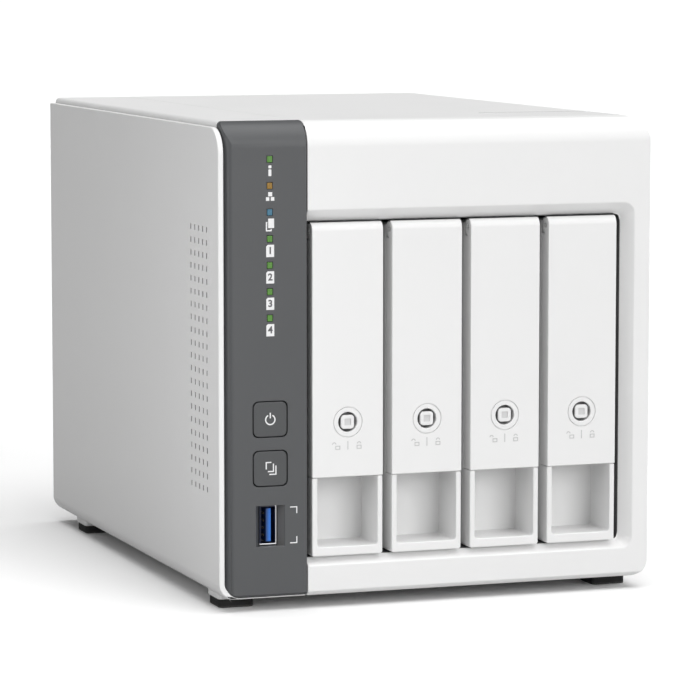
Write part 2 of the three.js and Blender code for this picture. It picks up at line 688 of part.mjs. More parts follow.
function trayFrame() {
  const y0 = FRONT + GAP;
  const y1 = FRONT + TRAY_FRONT_DEPTH;
  const pocketY1 = y1 - 2.5;
  const leverBackY = FRONT + LEVER_DEPTH + GAP;
  const railY1 = DRIVE_Y1 - 2;
  const outer = join([
    prism('y', outline(0, TRAY_WIDTH, TRAY_Z0, TRAY_SPLIT_Z, [0.8, 0.8, 0, 0]), y0, y1, 2),
    box(0, TRAY_WIDTH, leverBackY, y1, TRAY_SPLIT_Z - 1, PIVOT_Z + 1.4),
  ]);
  const pocket = prism(
    'y',
    outline(TRAY_WALL, TRAY_WIDTH - TRAY_WALL, TRAY_Z0 + TRAY_FLOOR, PIVOT_Z - 3, [1.2, 1.2, 0, 0]),
    y0 - 5,
    pocketY1,
    2,
  );
  const earY = FRONT + PIVOT_R;
  const ears = [];
  for (const x of [EAR_INSET, TRAY_WIDTH - EAR_INSET - EAR_WIDTH]) {
    ears.push(rod('x', earY, PIVOT_Z, x + GAP, x + EAR_WIDTH - GAP, EAR_R, 12));
    const armZ = PIVOT_Z - EAR_ARM / 2;
    ears.push(box(x + GAP, x + EAR_WIDTH - GAP, earY, pocketY1 + 1, armZ, armZ + EAR_ARM));
  }
  const rails = [];
  for (const z of [TRAY_Z0 + GAP, DRIVE_Z0 + DRIVE_HEIGHT + GAP]) {
    const rail = box(RAIL_INSET, TRAY_WIDTH - RAIL_INSET, y1 - 1, railY1, z, z + RAIL_HEIGHT);
    rails.push(rail);
  }
  const bore = rod('x', earY, PIVOT_Z, -1, TRAY_WIDTH + 1, PIN_R + 0.1, 12);
  return outer.subtract(pocket).add(join([...ears, ...rails])).subtract(bore);
}

function leverPlate() {
  const pivotY = FRONT + PIVOT_R;
  const bottom = TRAY_SPLIT_Z + 0.15;
  const plate = box(0, TRAY_WIDTH, FRONT, FRONT + LEVER_THICK, bottom, PIVOT_Z);
  const knuckle = rod('x', pivotY, PIVOT_Z, 0, TRAY_WIDTH, PIVOT_R, 20);
  const sides = [];
  for (const x of [0, TRAY_WIDTH - LEVER_SKIRT]) {
    sides.push(box(x, x + LEVER_SKIRT, FRONT + 1, FRONT + LEVER_DEPTH, bottom, PIVOT_Z - PIVOT_R));
  }
  const barrel = rod('y', TRAY_WIDTH / 2, LOCK_Z, FRONT + 1, FRONT + 5.5, LOCK_RING_R, 16);
  let lever = join([plate, knuckle, barrel, ...sides]);
  for (const x of [EAR_INSET, TRAY_WIDTH - EAR_INSET - EAR_WIDTH]) {
    const slotY = pivotY + KNUCKLE_LIP;
    const slot = box(x, x + EAR_WIDTH, slotY, slotY + 5, PIVOT_Z - EAR_ROOM, PIVOT_Z + 5);
    lever = lever.subtract(slot).subtract(rod('x', pivotY, PIVOT_Z, x, x + EAR_WIDTH, EAR_ROOM, 20));
  }
  lever = lever.subtract(rod('x', pivotY, PIVOT_Z, -1, TRAY_WIDTH + 1, PIN_R + PIN_CLEARANCE, 12));
  return lever.subtract(rod('y', TRAY_WIDTH / 2, LOCK_Z, FRONT - 1, FRONT + 8, LOCK_WELL_R, 20));
}

function lockRotor() {
  const x = TRAY_WIDTH / 2;
  const boss = centred(x, LOCK_Z, LOCK_BOSS, LOCK_BOSS, 1.2);
  return join([
    prism('y', boss, FRONT + 0.2, FRONT + 3, 3),
    rod('y', x, LOCK_Z, FRONT + 2.4, FRONT + 6, LOCK_WELL_R - GAP, 20),
    box(x - 1.8, x + 1.8, FRONT + 5.8, FRONT + 7.4, LOCK_Z - 2, LOCK_Z + 7.4),
  ]);
}

function leverPin() {
  return rod('x', FRONT + PIVOT_R, PIVOT_Z, 1, TRAY_WIDTH - 1, PIN_R, 12);
}

function hardDrive() {
  const x = TRAY_WIDTH / 2;
  const half = DRIVE_WIDTH / 2;
  const shape = outline(x - half, x + half, DRIVE_Z0, DRIVE_Z0 + DRIVE_HEIGHT, [1, 1, 1, 1]);
  const body = prism('y', shape, DRIVE_Y0, DRIVE_Y1, 2);
  // The electronics side has a shallow pocket, open at the connector end
  const x0 = x - half - 1;
  return body.subtract(box(x0, x0 + 3, DRIVE_Y0 + 20, DRIVE_Y1 + 1, DRIVE_Z0 + 8, DRIVE_Z0 + 60));
}

// ---- cooling ----

function fanFrame() {
  const y1 = FAN_Y0 + FAN_DEPTH;
  const bore = rod('y', FAN_X, FAN_Z, FAN_Y0 - 1, y1 + 1, FAN_BORE_R, 48);
  let frame = prism('y', centred(FAN_X, FAN_Z, FAN_SIZE, FAN_SIZE, 6), FAN_Y0, y1, 3).subtract(bore);
  for (const [x, z] of fanCorners()) {
    frame = frame.subtract(rod('y', x, z, FAN_Y0 - 1, y1 + 1, FAN_SCREW_R + PIN_CLEARANCE, 12));
  }
  const struts = [
    box(FAN_X - FAN_BORE_R - 0.5, FAN_X + FAN_BORE_R + 0.5, y1 - 4, y1 - 0.5, FAN_Z - 2, FAN_Z + 2),
    box(FAN_X - 2, FAN_X + 2, y1 - 4, y1 - 0.5, FAN_Z - FAN_BORE_R - 0.5, FAN_Z + FAN_BORE_R + 0.5),
  ];
  return join([frame, rod('y', FAN_X, FAN_Z, y1 - 5, y1 - 0.5, FAN_HUB_R, 24), ...struts]);
}

function fanRotor() {
  const y1 = FAN_Y0 + FAN_DEPTH - 5 - GAP;
  const pieces = [rod('y', FAN_X, FAN_Z, FAN_Y0 + 2, y1, FAN_HUB_R - 0.5, 24)];
  const bladeLength = FAN_BORE_R - 1.5 - FAN_HUB_R + 4;
  for (let blade = 0; blade < 7; blade += 1) {
    const geometry = new THREE.BoxGeometry(bladeLength, 21, 1.6);
    geometry.rotateX(THREE.MathUtils.degToRad(52));
    geometry.translate(FAN_HUB_R - 4 + bladeLength / 2, 0, 0);
    geometry.rotateY(blade * Math.PI * 2 / 7);
    geometry.translate(FAN_X, (FAN_Y0 + 3 + y1) / 2 - 0.5, FAN_Z);
    pieces.push(toSolid(geometry));
  }
  return join(pieces);
}

function fanScrew(x, z) {
  return join([
    rod('y', x, z, REAR_PANEL_Y0 - 9, REAR_PANEL_Y1 + 0.5, FAN_SCREW_R, 12),
    rod('y', x, z, REAR_PANEL_Y1, REAR_PANEL_Y1 + SCREW_HEAD_HEIGHT, SCREW_HEAD_R, 16),
  ]);
}

// ---- main board and what it carries ----

function mainBoard() {
  const x0 = MAIN_BOARD_X - CHIP_HEIGHT;
  const x1 = MAIN_BOARD_X + 1;
  return join([
    box(MAIN_BOARD_X, MAIN_BOARD_X + BOARD_THICK, BOARD_Y0, BOARD_Y1, BOARD_Z0, BOARD_Z1),
    box(MAIN_BOARD_X - 5, x1, BOARD_Y1 - 6, BOARD_Y1 - 1.4, RESET_Z - 3, RESET_Z + 3),
    box(x0, x1, FRONT + 60, FRONT + 74, 50, 64),
    box(x0, x1, FRONT + 160, FRONT + 172, 66, 78),
  ]);
}

function heatsink() {
  const y1 = HEATSINK_Y0 + HEATSINK_SIZE;
  const z1 = HEATSINK_Z0 + HEATSINK_SIZE;
  const base = box(MAIN_BOARD_X - HEATSINK_BASE, MAIN_BOARD_X, HEATSINK_Y0, y1, HEATSINK_Z0, z1);
  const fins = [];
  for (let fin = 0; fin < FIN_COUNT; fin += 1) {
    const y = HEATSINK_Y0 + fin * (HEATSINK_SIZE - FIN_THICK) / (FIN_COUNT - 1);
    fins.push(box(MAIN_BOARD_X - HEATSINK_HEIGHT, MAIN_BOARD_X - 3, y, y + FIN_THICK, HEATSINK_Z0, z1));
  }
  return join([base, ...fins]);
}

// A module lying flat over the board, in an edge socket behind and on a clip in front
function memoryModule() {
  const x1 = MAIN_BOARD_X;
  const z1 = MEMORY_Z0 + MEMORY_LENGTH;
  const middle = MEMORY_Z0 + MEMORY_LENGTH / 2;
  return join([
    box(x1 - 5, x1, MEMORY_Y0 + 24, MEMORY_Y0 + 30, MEMORY_Z0, z1),
    box(x1 - 4, x1 - 2.8, MEMORY_Y0 + 0.5, MEMORY_Y0 + 25, MEMORY_Z0 + 0.2, z1 - 0.2),
    box(x1 - 5, x1, MEMORY_Y0, MEMORY_Y0 + 3, middle - 4, middle + 2),
  ]);
}

function coinCell() {
  const holder = box(MAIN_BOARD_X - 1.6, MAIN_BOARD_X, CELL_Y - 11, CELL_Y + 11, CELL_Z - 4, CELL_Z + 4);
  return holder.add(rod('x', CELL_Y, CELL_Z, MAIN_BOARD_X - 4.4, MAIN_BOARD_X - 1, CELL_R, 24));
}

const PORT_Y1 = REAR_PANEL_Y1 + PORT_REACH;

function portBlock(name, length) {
  const port = PORTS[name];
  const half = port.height / 2;
  const x0 = MAIN_BOARD_X - port.reach;
  return box(x0, MAIN_BOARD_X, PORT_Y1 - length, PORT_Y1, port.z - half, port.z + half);
}

function lanPort(name) {
  const { z } = PORTS[name];
  const x1 = MAIN_BOARD_X - 2;
  const socket = box(x1 - 8, x1, PORT_Y1 - 14, PORT_Y1 + 1, z - 5.9, z + 5.9);
  const latch = box(x1 - 10, x1 - 7, PORT_Y1 - 14, PORT_Y1 + 1, z - 3, z + 3);
  return portBlock(name, 21).subtract(socket).subtract(latch);
}

function usbStack() {
  const { z, reach } = PORTS.usb_rear;
  let stack = portBlock('usb_rear', 17);
  for (const x of [MAIN_BOARD_X - reach / 4, MAIN_BOARD_X - reach * 3 / 4]) {
    const mouth = box(x - 2.6, x + 2.6, PORT_Y1 - 12, PORT_Y1 + 1, z - 6.1, z + 6.1);
    stack = stack.subtract(mouth.subtract(box(x - 1.9, x, PORT_Y1 - 13, PORT_Y1 - 0.6, z - 5.6, z + 5.6)));
  }
  return stack;
}

function dcJack() {
  const { z, reach } = PORTS.dc_jack;
  const x = MAIN_BOARD_X - reach / 2;
  const bore = rod('y', x, z, PORT_Y1 - 10, PORT_Y1 + 1, 3.4, 12);
  const pin = rod('y', x, z, PORT_Y1 - 11, PORT_Y1 - 0.6, 1.1, 8);
  return portBlock('dc_jack', 15).subtract(bore.subtract(pin));
}

function resetButton() {
  return box(RESET_X - 1, RESET_X + 1, BOARD_Y1 - 0.2, REAR_PANEL_Y1 + 0.3, RESET_Z - 1, RESET_Z + 1);
}

// ---- the assembly ----

place(assembly, 'main_cover', mainCover(), WHITE_PLASTIC);
place(assembly, 'side_panel', sidePanel(), WHITE_PLASTIC);
place(assembly, 'top_trim', topTrim(), WHITE_PLASTIC);
place(assembly, 'front_strip', frontStrip(), GREY_PLASTIC);
place(assembly, 'rear_panel', rearPanel(), SHEET_STEEL);

place(assembly, 'foot_front_left', foot(LEFT + FOOT_INSET_X, FOOT_FRONT_Y), BLACK_RUBBER);
place(assembly, 'foot_front_right', foot(RIGHT - FOOT_INSET_X, FOOT_FRONT_Y), BLACK_RUBBER);
place(assembly, 'foot_rear_left', foot(LEFT + FOOT_INSET_X, FOOT_REAR_Y), BLACK_RUBBER);
place(assembly, 'foot_rear_right', foot(RIGHT - FOOT_INSET_X, FOOT_REAR_Y), BLACK_RUBBER);

place(assembly, 'power_button', pushButton(POWER_Z), BUTTON_PLASTIC);
place(assembly, 'copy_button', pushButton(COPY_Z), BUTTON_PLASTIC);
place(assembly, 'light_guide', lightGuide(), CLEAR_PLASTIC);
place(assembly, 'front_board', frontBoard(), GREEN_BOARD);
place(assembly, 'usb_front_shell', socketShell(), BRIGHT_STEEL);
place(assembly, 'usb_front_tongue', socketTongue(), BLUE_PLASTIC);

place(assembly, 'drive_cage', driveCage(), SHEET_STEEL);
place(assembly, 'cage_top', cageTop(), SHEET_STEEL);
place(assembly, 'guide_bottom', guideBottom(), BLACK_PLASTIC);
place(assembly, 'guide_top', guideTop(), BLACK_PLASTIC);
place(assembly, 'backplane', backplane(), GREEN_BOARD);

place(assembly, 'main_board', mainBoard(), GREEN_BOARD);
place(assembly, 'heatsink', heatsink(), CAST_ALUMINIUM);
place(assembly, 'memory_module', memoryModule(), GREEN_BOARD);
place(assembly, 'coin_cell', coinCell(), BRIGHT_STEEL);
place(assembly, 'lan_port_1', lanPort('lan_port_1'), BRIGHT_STEEL);
place(assembly, 'lan_port_2', lanPort('lan_port_2'), BRIGHT_STEEL);
place(assembly, 'usb_rear', usbStack(), BRIGHT_STEEL);
place(assembly, 'dc_jack', dcJack(), BLACK_PLASTIC);
place(assembly, 'reset_button', resetButton(), BLACK_PLASTIC);

place(assembly, 'fan_frame', fanFrame(), BLACK_PLASTIC);
place(assembly, 'fan_rotor', fanRotor(), BLACK_PLASTIC);
fanCorners().forEach(([x, z], index) => {
  place(assembly, `fan_screw_${index + 1}`, fanScrew(x, z), BRIGHT_STEEL);
});

for (let bay = 0; bay < BAY_COUNT; bay += 1) {
  const number = bay + 1;
  const group = new THREE.Group();
  group.position.x = trayX(bay);
  place(group, `tray_${number}`, trayFrame(), WHITE_PLASTIC);
  place(group, `lever_${number}`, leverPlate(), WHITE_PLASTIC);
  place(group, `lock_${number}`, lockRotor(), WHITE_PLASTIC);
  place(group, `lever_pin_${number}`, leverPin(), BRIGHT_STEEL);
  place(group, `drive_${number}`, hardDrive(), CAST_ALUMINIUM);
  assembly.add(group);
  place(assembly, `drive_socket_${number}`, driveSocket(bay), BLACK_PLASTIC);
}

export default assembly;
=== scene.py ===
# Four-bay desktop network attached storage: moulded white shell, dark control strip, pull-out drive trays.
import math

import bmesh
import bpy
from mathutils import Matrix, Vector


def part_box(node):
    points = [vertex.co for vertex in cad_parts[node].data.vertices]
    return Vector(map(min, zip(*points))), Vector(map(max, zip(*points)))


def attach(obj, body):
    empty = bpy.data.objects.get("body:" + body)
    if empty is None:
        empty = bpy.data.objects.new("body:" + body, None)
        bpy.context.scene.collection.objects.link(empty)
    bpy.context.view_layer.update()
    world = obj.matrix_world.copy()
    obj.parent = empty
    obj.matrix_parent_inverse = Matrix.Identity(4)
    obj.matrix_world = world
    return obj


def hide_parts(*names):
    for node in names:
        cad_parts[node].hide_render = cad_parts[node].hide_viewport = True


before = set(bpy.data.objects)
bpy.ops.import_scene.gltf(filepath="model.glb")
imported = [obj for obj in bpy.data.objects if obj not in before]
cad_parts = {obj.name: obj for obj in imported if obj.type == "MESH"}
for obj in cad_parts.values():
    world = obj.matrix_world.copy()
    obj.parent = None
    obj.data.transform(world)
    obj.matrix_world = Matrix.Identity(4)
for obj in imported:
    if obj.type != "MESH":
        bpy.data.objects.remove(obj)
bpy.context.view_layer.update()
MM = 0.001

# ---- Camera, floor and light ----
# A pale studio: a floor that is plain white to the camera and keeps the unit's soft shadow, a broad lamp
# overhead, a weaker one in front and to the right, a small one by the front left corner, and a dim even
# surround that leaves the left side grey.
CAMERA_PLACE = (-0.4517, -1.2849, 0.2263)
CAMERA_AIM = (0.3314, 0.9374, -0.1066)
CAMERA_LENS = 187.55
CAMERA_SHIFT = (0.0141, -0.0126)
FLOOR_SIZE = 60
FLOOR_GREY = 0.55
SURROUND_STRENGTH = 0.18

camera_data = bpy.data.cameras.new("camera")
camera_data.lens = CAMERA_LENS
camera_data.shift_x, camera_data.shift_y = CAMERA_SHIFT
camera_data.clip_start = 0.05
camera = bpy.data.objects.new("camera", camera_data)
camera.location = CAMERA_PLACE
camera.rotation_euler = Vector(CAMERA_AIM).to_track_quat("-Z", "Y").to_euler()
bpy.context.scene.collection.objects.link(camera)
bpy.context.scene.camera = camera
bpy.context.scene.view_settings.view_transform = "Standard"


class Channel:
    """One value or colour in a material's node tree, so that shader sums are written as sums."""

    def __init__(self, paint, socket):
        self.paint = paint
        self.socket = socket

    def _sum(self, operation, first, second):
        return self.paint.node("ShaderNodeMath", {"operation": operation}, {0: first, 1: second})

    def __add__(self, other):
        return self._sum("ADD", self, other)

    def __radd__(self, other):
        return self._sum("ADD", other, self)

    def __sub__(self, other):
        return self._sum("SUBTRACT", self, other)

    def __rsub__(self, other):
        return self._sum("SUBTRACT", other, self)

    def __mul__(self, other):
        return self._sum("MULTIPLY", self, other)

    def __rmul__(self, other):
        return self._sum("MULTIPLY", other, self)

    def above(self, low):
        return self._sum("GREATER_THAN", self, low)

    def below(self, high):
        return self._sum("LESS_THAN", self, high)

    def between(self, low, high):
        return self.above(low) * self.below(high)


class Paint:
    """A material: its node tree, its Principled shader, and one way to add any other node."""

    def __init__(self, name):
        self.material = bpy.data.materials.new(name)
        self.material.use_nodes = True
        self.tree = self.material.node_tree
        self.shader = self.tree.nodes["Principled BSDF"]
        self.place = self.node("ShaderNodeTexCoord", {}, {}, "Object")

    def feed(self, socket, value):
        if isinstance(value, Channel):
            self.tree.links.new(value.socket, socket)
        else:
            socket.default_value = value

    def node(self, kind, settings, values, output=0):
        made = self.tree.nodes.new(kind)
        for name, value in settings.items():
            setattr(made, name, value)
        for name, value in values.items():
            self.feed(made.inputs[name], value)
        return Channel(self, made.outputs[output])

    def finish(self, **values):
        for name, value in values.items():
            self.feed(self.shader.inputs[name.replace("_", " ")], value)
        return self.material

    def noise(self, scale, detail=2.0, roughness=0.5, place=None):
        values = {"Vector": place or self.place, "Scale": scale, "Detail": detail, "Roughness": roughness}
        return self.node("ShaderNodeTexNoise", {}, values, "Fac")

    def stretched(self, scales):
        return self.node("ShaderNodeMapping", {}, {"Vector": self.place, "Scale": scales})

    def along(self, axis):
        """The place along one axis, in metres."""
        return self.node("ShaderNodeSeparateXYZ", {}, {0: self.place}, axis)

    def within(self, x, y, z):
        """1 inside a box that is given by its ends along each axis, in millimetres."""
        sides = [self.along(axis).between(low * MM, high * MM) for axis, (low, high) in zip("XYZ", (x, y, z))]
        return sides[0] * sides[1] * sides[2]

    def mix(self, factor, first, second):
        settings = {"data_type": "RGBA"}
        return self.node("ShaderNodeMix", settings, {0: factor, 6: first, 7: second}, 2)

    def bump(self, height, strength, distance):
        return self.node("ShaderNodeBump", {}, {"Height": height, "Strength": strength, "Distance": distance})


def tone(red, green, blue):
    return (red, green, blue, 1.0)


# The floor is white where the camera sees it, and a middling grey for the light that it sends back up
floor_paint = Paint("studio_floor")
seen = floor_paint.node("ShaderNodeLightPath", {}, {}, "Is Camera Ray")
floor_paint.finish(
    Base_Color=floor_paint.mix(seen, tone(FLOOR_GREY, FLOOR_GREY, FLOOR_GREY), tone(1, 1, 1)),
    Roughness=1.0,
    Specular_IOR_Level=0.0,
)
bpy.ops.object.select_all(action="DESELECT")
bpy.ops.mesh.primitive_plane_add(size=FLOOR_SIZE, location=(0, 0, 0))
floor = bpy.context.active_object
floor.name = "studio_floor"
floor.data.materials.append(floor_paint.material)

world = bpy.data.worlds.new("surround")
bpy.context.scene.world = world
world.use_nodes = True
links = world.node_tree.links
surround = world.node_tree.nodes["Background"]
surround.inputs["Color"].default_value = tone(1, 1, 1)
surround.inputs["Strength"].default_value = SURROUND_STRENGTH
backdrop = world.node_tree.nodes.new("ShaderNodeBackground")
backdrop.inputs["Color"].default_value = tone(1, 1, 1)
backdrop.inputs["Strength"].default_value = 1.0
rays = world.node_tree.nodes.new("ShaderNodeLightPath")
choice = world.node_tree.nodes.new("ShaderNodeMixShader")
links.new(rays.outputs["Is Camera Ray"], choice.inputs[0])
links.new(surround.outputs[0], choice.inputs[1])
links.new(backdrop.outputs[0], choice.inputs[2])
links.new(choice.outputs[0], world.node_tree.nodes["World Output"].inputs["Surface"])


def lamp(name, toward, strength, spread):
    """A sun lamp that shines along toward, and whose disc is spread degrees wide, for soft shadows."""
    light = bpy.data.lights.new(name, "SUN")
    light.energy = strength
    light.angle = math.radians(spread)
    holder = bpy.data.objects.new(name, light)
    holder.rotation_euler = Vector(toward).to_track_quat("-Z", "Y").to_euler()
    bpy.context.scene.collection.objects.link(holder)


lamp("overhead_lamp", toward=(-0.1, 0.15, -1), strength=2.55, spread=70)
lamp("front_lamp", toward=(-0.3, 1, -0.28), strength=1.3, spread=40)

# The small weak lamp brightens the left side towards its front edge
CORNER_LAMP_PLACE = (-0.26, -0.2, 0.12)
CORNER_LAMP_AIM = (0.17, 0.12, -0.03)
CORNER_LAMP_POWER = 0.1
CORNER_LAMP_SIZE = 0.12
corner_light = bpy.data.lights.new("corner_lamp", "AREA")
corner_light.energy = CORNER_LAMP_POWER
corner_light.size = CORNER_LAMP_SIZE
corner_lamp = bpy.data.objects.new("corner_lamp", corner_light)
corner_lamp.location = CORNER_LAMP_PLACE
corner_lamp.rotation_euler = Vector(CORNER_LAMP_AIM).to_track_quat("-Z", "Y").to_euler()
corner_lamp.visible_camera = False
bpy.context.scene.collection.objects.link(corner_lamp)


# Angles in degrees. Up to FLAT_ANGLE faces are one flat face, and up to SMOOTH_ANGLE they are shaded as one
# curve. From SHARP_ANGLE on, the edge between them is rounded. Points closer than DOUBLED are one point.
FLAT_ANGLE = 0.5
SMOOTH_ANGLE = 38
SHARP_ANGLE = 30
DOUBLED = 0.005


def activate(piece):
    bpy.ops.object.select_all(action="DESELECT")
    piece.select_set(True)
    bpy.context.view_layer.objects.active = piece


def even(piece):
    """Smooth shading that keeps flat faces flat."""
    activate(piece)
    bpy.ops.object.shade_smooth_by_angle(angle=math.radians(SMOOTH_ANGLE))
    weighting = piece.modifiers.new("flat_faces", "WEIGHTED_NORMAL")
    weighting.keep_sharp = True
    bpy.ops.object.modifier_apply(modifier=weighting.name)
    return piece


def merge(piece):
    """Joins doubled points and makes flat faces whole."""
    activate(piece)
    bpy.ops.object.mode_set(mode="EDIT")
    bpy.ops.mesh.select_all(action="SELECT")
    bpy.ops.mesh.remove_doubles(threshold=DOUBLED * MM)
    bpy.ops.mesh.dissolve_limited(angle_limit=math.radians(FLAT_ANGLE))
    bpy.ops.object.mode_set(mode="OBJECT")
    return piece


def soften(piece, width, steps=3):
    """Rounds every sharp edge, by width in millimetres."""
    rounding = piece.modifiers.new("soft_edges", "BEVEL")
    rounding.width = width * MM
    rounding.segments = steps
    rounding.limit_method = "ANGLE"
    rounding.angle_limit = math.radians(SHARP_ANGLE)
    rounding.use_clamp_overlap = False
    activate(piece)
    bpy.ops.object.modifier_apply(modifier=rounding.name)
    return even(merge(piece))


def from_node(node, name):
    """A merged copy of a CAD node's mesh, with its flat faces whole again."""
    piece = bpy.data.objects.new(name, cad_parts[node].data.copy())
    bpy.context.scene.collection.objects.link(piece)
    piece.data.materials.clear()
    return merge(piece)


def settle(piece, body, slot, material, *nodes):
    """Puts a finished piece on its body, with its finish and the CAD nodes that it stands for."""
    piece.data.materials.clear()
    piece.data.materials.append(material)
    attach(piece, body)
    if nodes:
        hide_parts(*nodes)
    return piece


def dress(node, name, slot, material, width, body="enclosure"):
    """The usual way: a CAD node's shape with its edges rounded and its real finish."""
    return settle(soften(from_node(node, name), width), body, slot, material, node)


def span(node):
    """Lowest and highest corner of a CAD node, in millimetres."""
    low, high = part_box(node)
    return low / MM, high / MM


def shift(piece, chosen, by):
    """Moves the vertices whose place (in millimetres) is chosen, by millimetres."""
    for vertex in piece.data.vertices:
        if chosen(vertex.co / MM):
            vertex.co += Vector(by) * MM


AXES = {"x": (2, 0, 1), "y": (0, 2, 1), "z": (0, 1, 2)}


def slab(name, rings, axis, start, end):
    """Flat shapes given as rings of points, made solid from start to end along one axis, in millimetres."""
    order = AXES[axis]
    mesh = bpy.data.meshes.new(name)
    shape = bmesh.new()
    travel = Vector([(0, 0, end - start)[place] for place in order]) * MM
    for ring in rings:
        corners = [Vector([(u, v, start)[place] for place in order]) * MM for u, v in ring]
        face = shape.faces.new([shape.verts.new(corner) for corner in corners])
        pushed = bmesh.ops.extrude_face_region(shape, geom=[face])["geom"]
        moved = [part for part in pushed if isinstance(part, bmesh.types.BMVert)]
        bmesh.ops.translate(shape, verts=moved, vec=travel)
    bmesh.ops.recalc_face_normals(shape, faces=shape.faces)
    shape.to_mesh(mesh)
    shape.free()
    piece = bpy.data.objects.new(name, mesh)
    bpy.context.scene.collection.objects.link(piece)
    return piece


def block(u0, u1, v0, v1):
    """The ring of a rectangle."""
    return [(u0, v0), (u1, v0), (u1, v1), (u0, v1)]


def rounded(u0, u1, v0, v1, r, steps=6):
    """The ring of a rectangle with round corners."""
    ring = []
    corners = ((u1 - r, v0 + r, -90), (u1 - r, v1 - r, 0), (u0 + r, v1 - r, 90), (u0 + r, v0 + r, 180))
    for u, v, turn in corners:
        for step in range(steps + 1):
            angle = math.radians(turn + 90 * step / steps)
            ring.append((u + r * math.cos(angle), v + r * math.sin(angle)))
    return ring


def arc(u, v, inner, outer, start, end, steps=24):
    """The ring of a curved stroke round (u, v), between two angles in degrees."""
    angles = [math.radians(start + (end - start) * step / steps) for step in range(steps + 1)]
    outside = [(u + outer * math.cos(angle), v + outer * math.sin(angle)) for angle in angles]
    inside = [(u + inner * math.cos(angle), v + inner * math.sin(angle)) for angle in reversed(angles)]
    return outside + inside


def bar(name, axis, u, v, radius, start, end, sides=48):
    """A round bar along one axis, in millimetres."""
    ring = [(u + radius * math.cos(math.tau * k / sides), v + radius * math.sin(math.tau * k / sides))
            for k in range(sides)]
    return slab(name, [ring], axis, start, end)


def carve(piece, cutter):
    """Cuts one piece out of another, and removes the cutter."""
    cut = piece.modifiers.new("cut", "BOOLEAN")
    cut.operation = "DIFFERENCE"
    cut.solver = "EXACT"
    cut.object = cutter
    activate(piece)
    bpy.ops.object.modifier_apply(modifier=cut.name)
    bpy.data.objects.remove(cutter)
    return piece


def together(name, pieces):
    """Several meshes as one piece."""
    activate(pieces[0])
    for piece in pieces[1:]:
        piece.select_set(True)
    bpy.ops.object.join()
    pieces[0].name = name
    return pieces[0]


def repeat(piece, name, by):
    """A copy with its own mesh, moved by millimetres."""
    again = bpy.data.objects.new(name, piece.data.copy())
    bpy.context.scene.collection.objects.link(again)
    again.data.transform(Matrix.Translation(Vector(by) * MM))
    return again


def moulded(paint, colour, roughness, *painted_spots, grain=2600, depth=0.012, drift=0.012):
    """Moulded plastic: fine eroded grain, a slow drift of shade, and a sheen that varies with handling.

    Each spot is a mask with a painted grey: painted shade in holes, grooves and other shaded places, and
    painted light on a flank that the lamps leave dim.
    """
    lighter = tone(*[min(1, c * (1 + drift)) for c in colour])
    darker = tone(*[c * (1 - drift) for c in colour])
    shade = paint.mix(paint.noise(18, 3), darker, lighter)
    for mask, grey in painted_spots:
        shade = paint.mix(mask, shade, tone(grey, grey, grey))
    return paint.finish(
        Base_Color=shade,
        Roughness=roughness - 0.06 + paint.noise(45, 4, 0.6) * 0.12,
        Normal=paint.bump(paint.noise(grain, 2, 0.6), 0.25, depth * MM),
    )


# ---- White moulded shell: main cover, side panel and top trim ----
# The cover is one ABS moulding: bezel, top and right side. The side panel and the narrow trim clip on beside
# it. All have a fine spark-eroded texture, slightly satin, and softened edges.
WHITE = (0.87, 0.87, 0.868)
WHITE_ROUGHNESS = 0.45
white_plastic = moulded(Paint("white_plastic"), WHITE, WHITE_ROUGHNESS)

# The cover: painted shade behind the chamfer of the bay opening, and in the groove round the label plate
COVER_LOW, COVER_HIGH = span("main_cover")
FRONT = COVER_LOW.y
OPENING_X = (-48, COVER_HIGH.x - 9.7)
OPENING_Z = (17.2, 140.4)
CHAMFER_DEPTH = 4
OPENING_DEPTH = 18
OPENING_PAINTED_SHADE = 0.1
LABEL_SIZE = (43, 30)
LABEL_X = (COVER_HIGH.x - 7 - LABEL_SIZE[0], COVER_HIGH.x - 7)
LABEL_Y = (FRONT + 10.5, FRONT + 10.5 + LABEL_SIZE[1])
GROOVE_EDGE = 0.3
GROOVE_DEPTH = (0.7, 0.03)
GROOVE_PAINTED_SHADE = 0.4
cover_paint = Paint("cover_white")
painted_shade_behind_chamfer = cover_paint.within(
    OPENING_X, (FRONT + CHAMFER_DEPTH + 0.1, FRONT + OPENING_DEPTH), OPENING_Z
)
painted_shade_in_groove = cover_paint.within(
    (LABEL_X[0] - GROOVE_EDGE, LABEL_X[1] + GROOVE_EDGE),
    (LABEL_Y[0] - GROOVE_EDGE, LABEL_Y[1] + GROOVE_EDGE),
    [COVER_HIGH.z - depth for depth in GROOVE_DEPTH],
)
cover_white = moulded(
    cover_paint, WHITE, WHITE_ROUGHNESS, (painted_shade_behind_chamfer, OPENING_PAINTED_SHADE), (painted_shade_in_groove, GROOVE_PAINTED_SHADE)
)
dress("main_cover", "cover_shell", "white_plastic", cover_white, 0.35)
dress("top_trim", "trim_strip", "white_plastic", white_plastic, 0.3)


def soften_edges(piece, width, fine, small):
    """Rounds sharp edges by width, and by the fine width where small(place) says so, in millimetres."""
    weights = piece.data.attributes.new("bevel_weight_edge", "FLOAT", "EDGE")
    shape = bmesh.new()
    shape.from_mesh(piece.data)
    for edge in shape.edges:
        if edge.calc_face_angle(0) > math.radians(SHARP_ANGLE):
            middle = (edge.verts[0].co + edge.verts[1].co) / 2 / MM
            weights.data[edge.index].value = fine / width if small(middle) else 1.0
    shape.free()
    rounding = piece.modifiers.new("soft_edges", "BEVEL")
    rounding.width = width * MM
    rounding.segments = 3
    rounding.limit_method = "WEIGHT"
    rounding.use_clamp_overlap = False
    activate(piece)
    bpy.ops.object.modifier_apply(modifier=rounding.name)
    return even(piece)
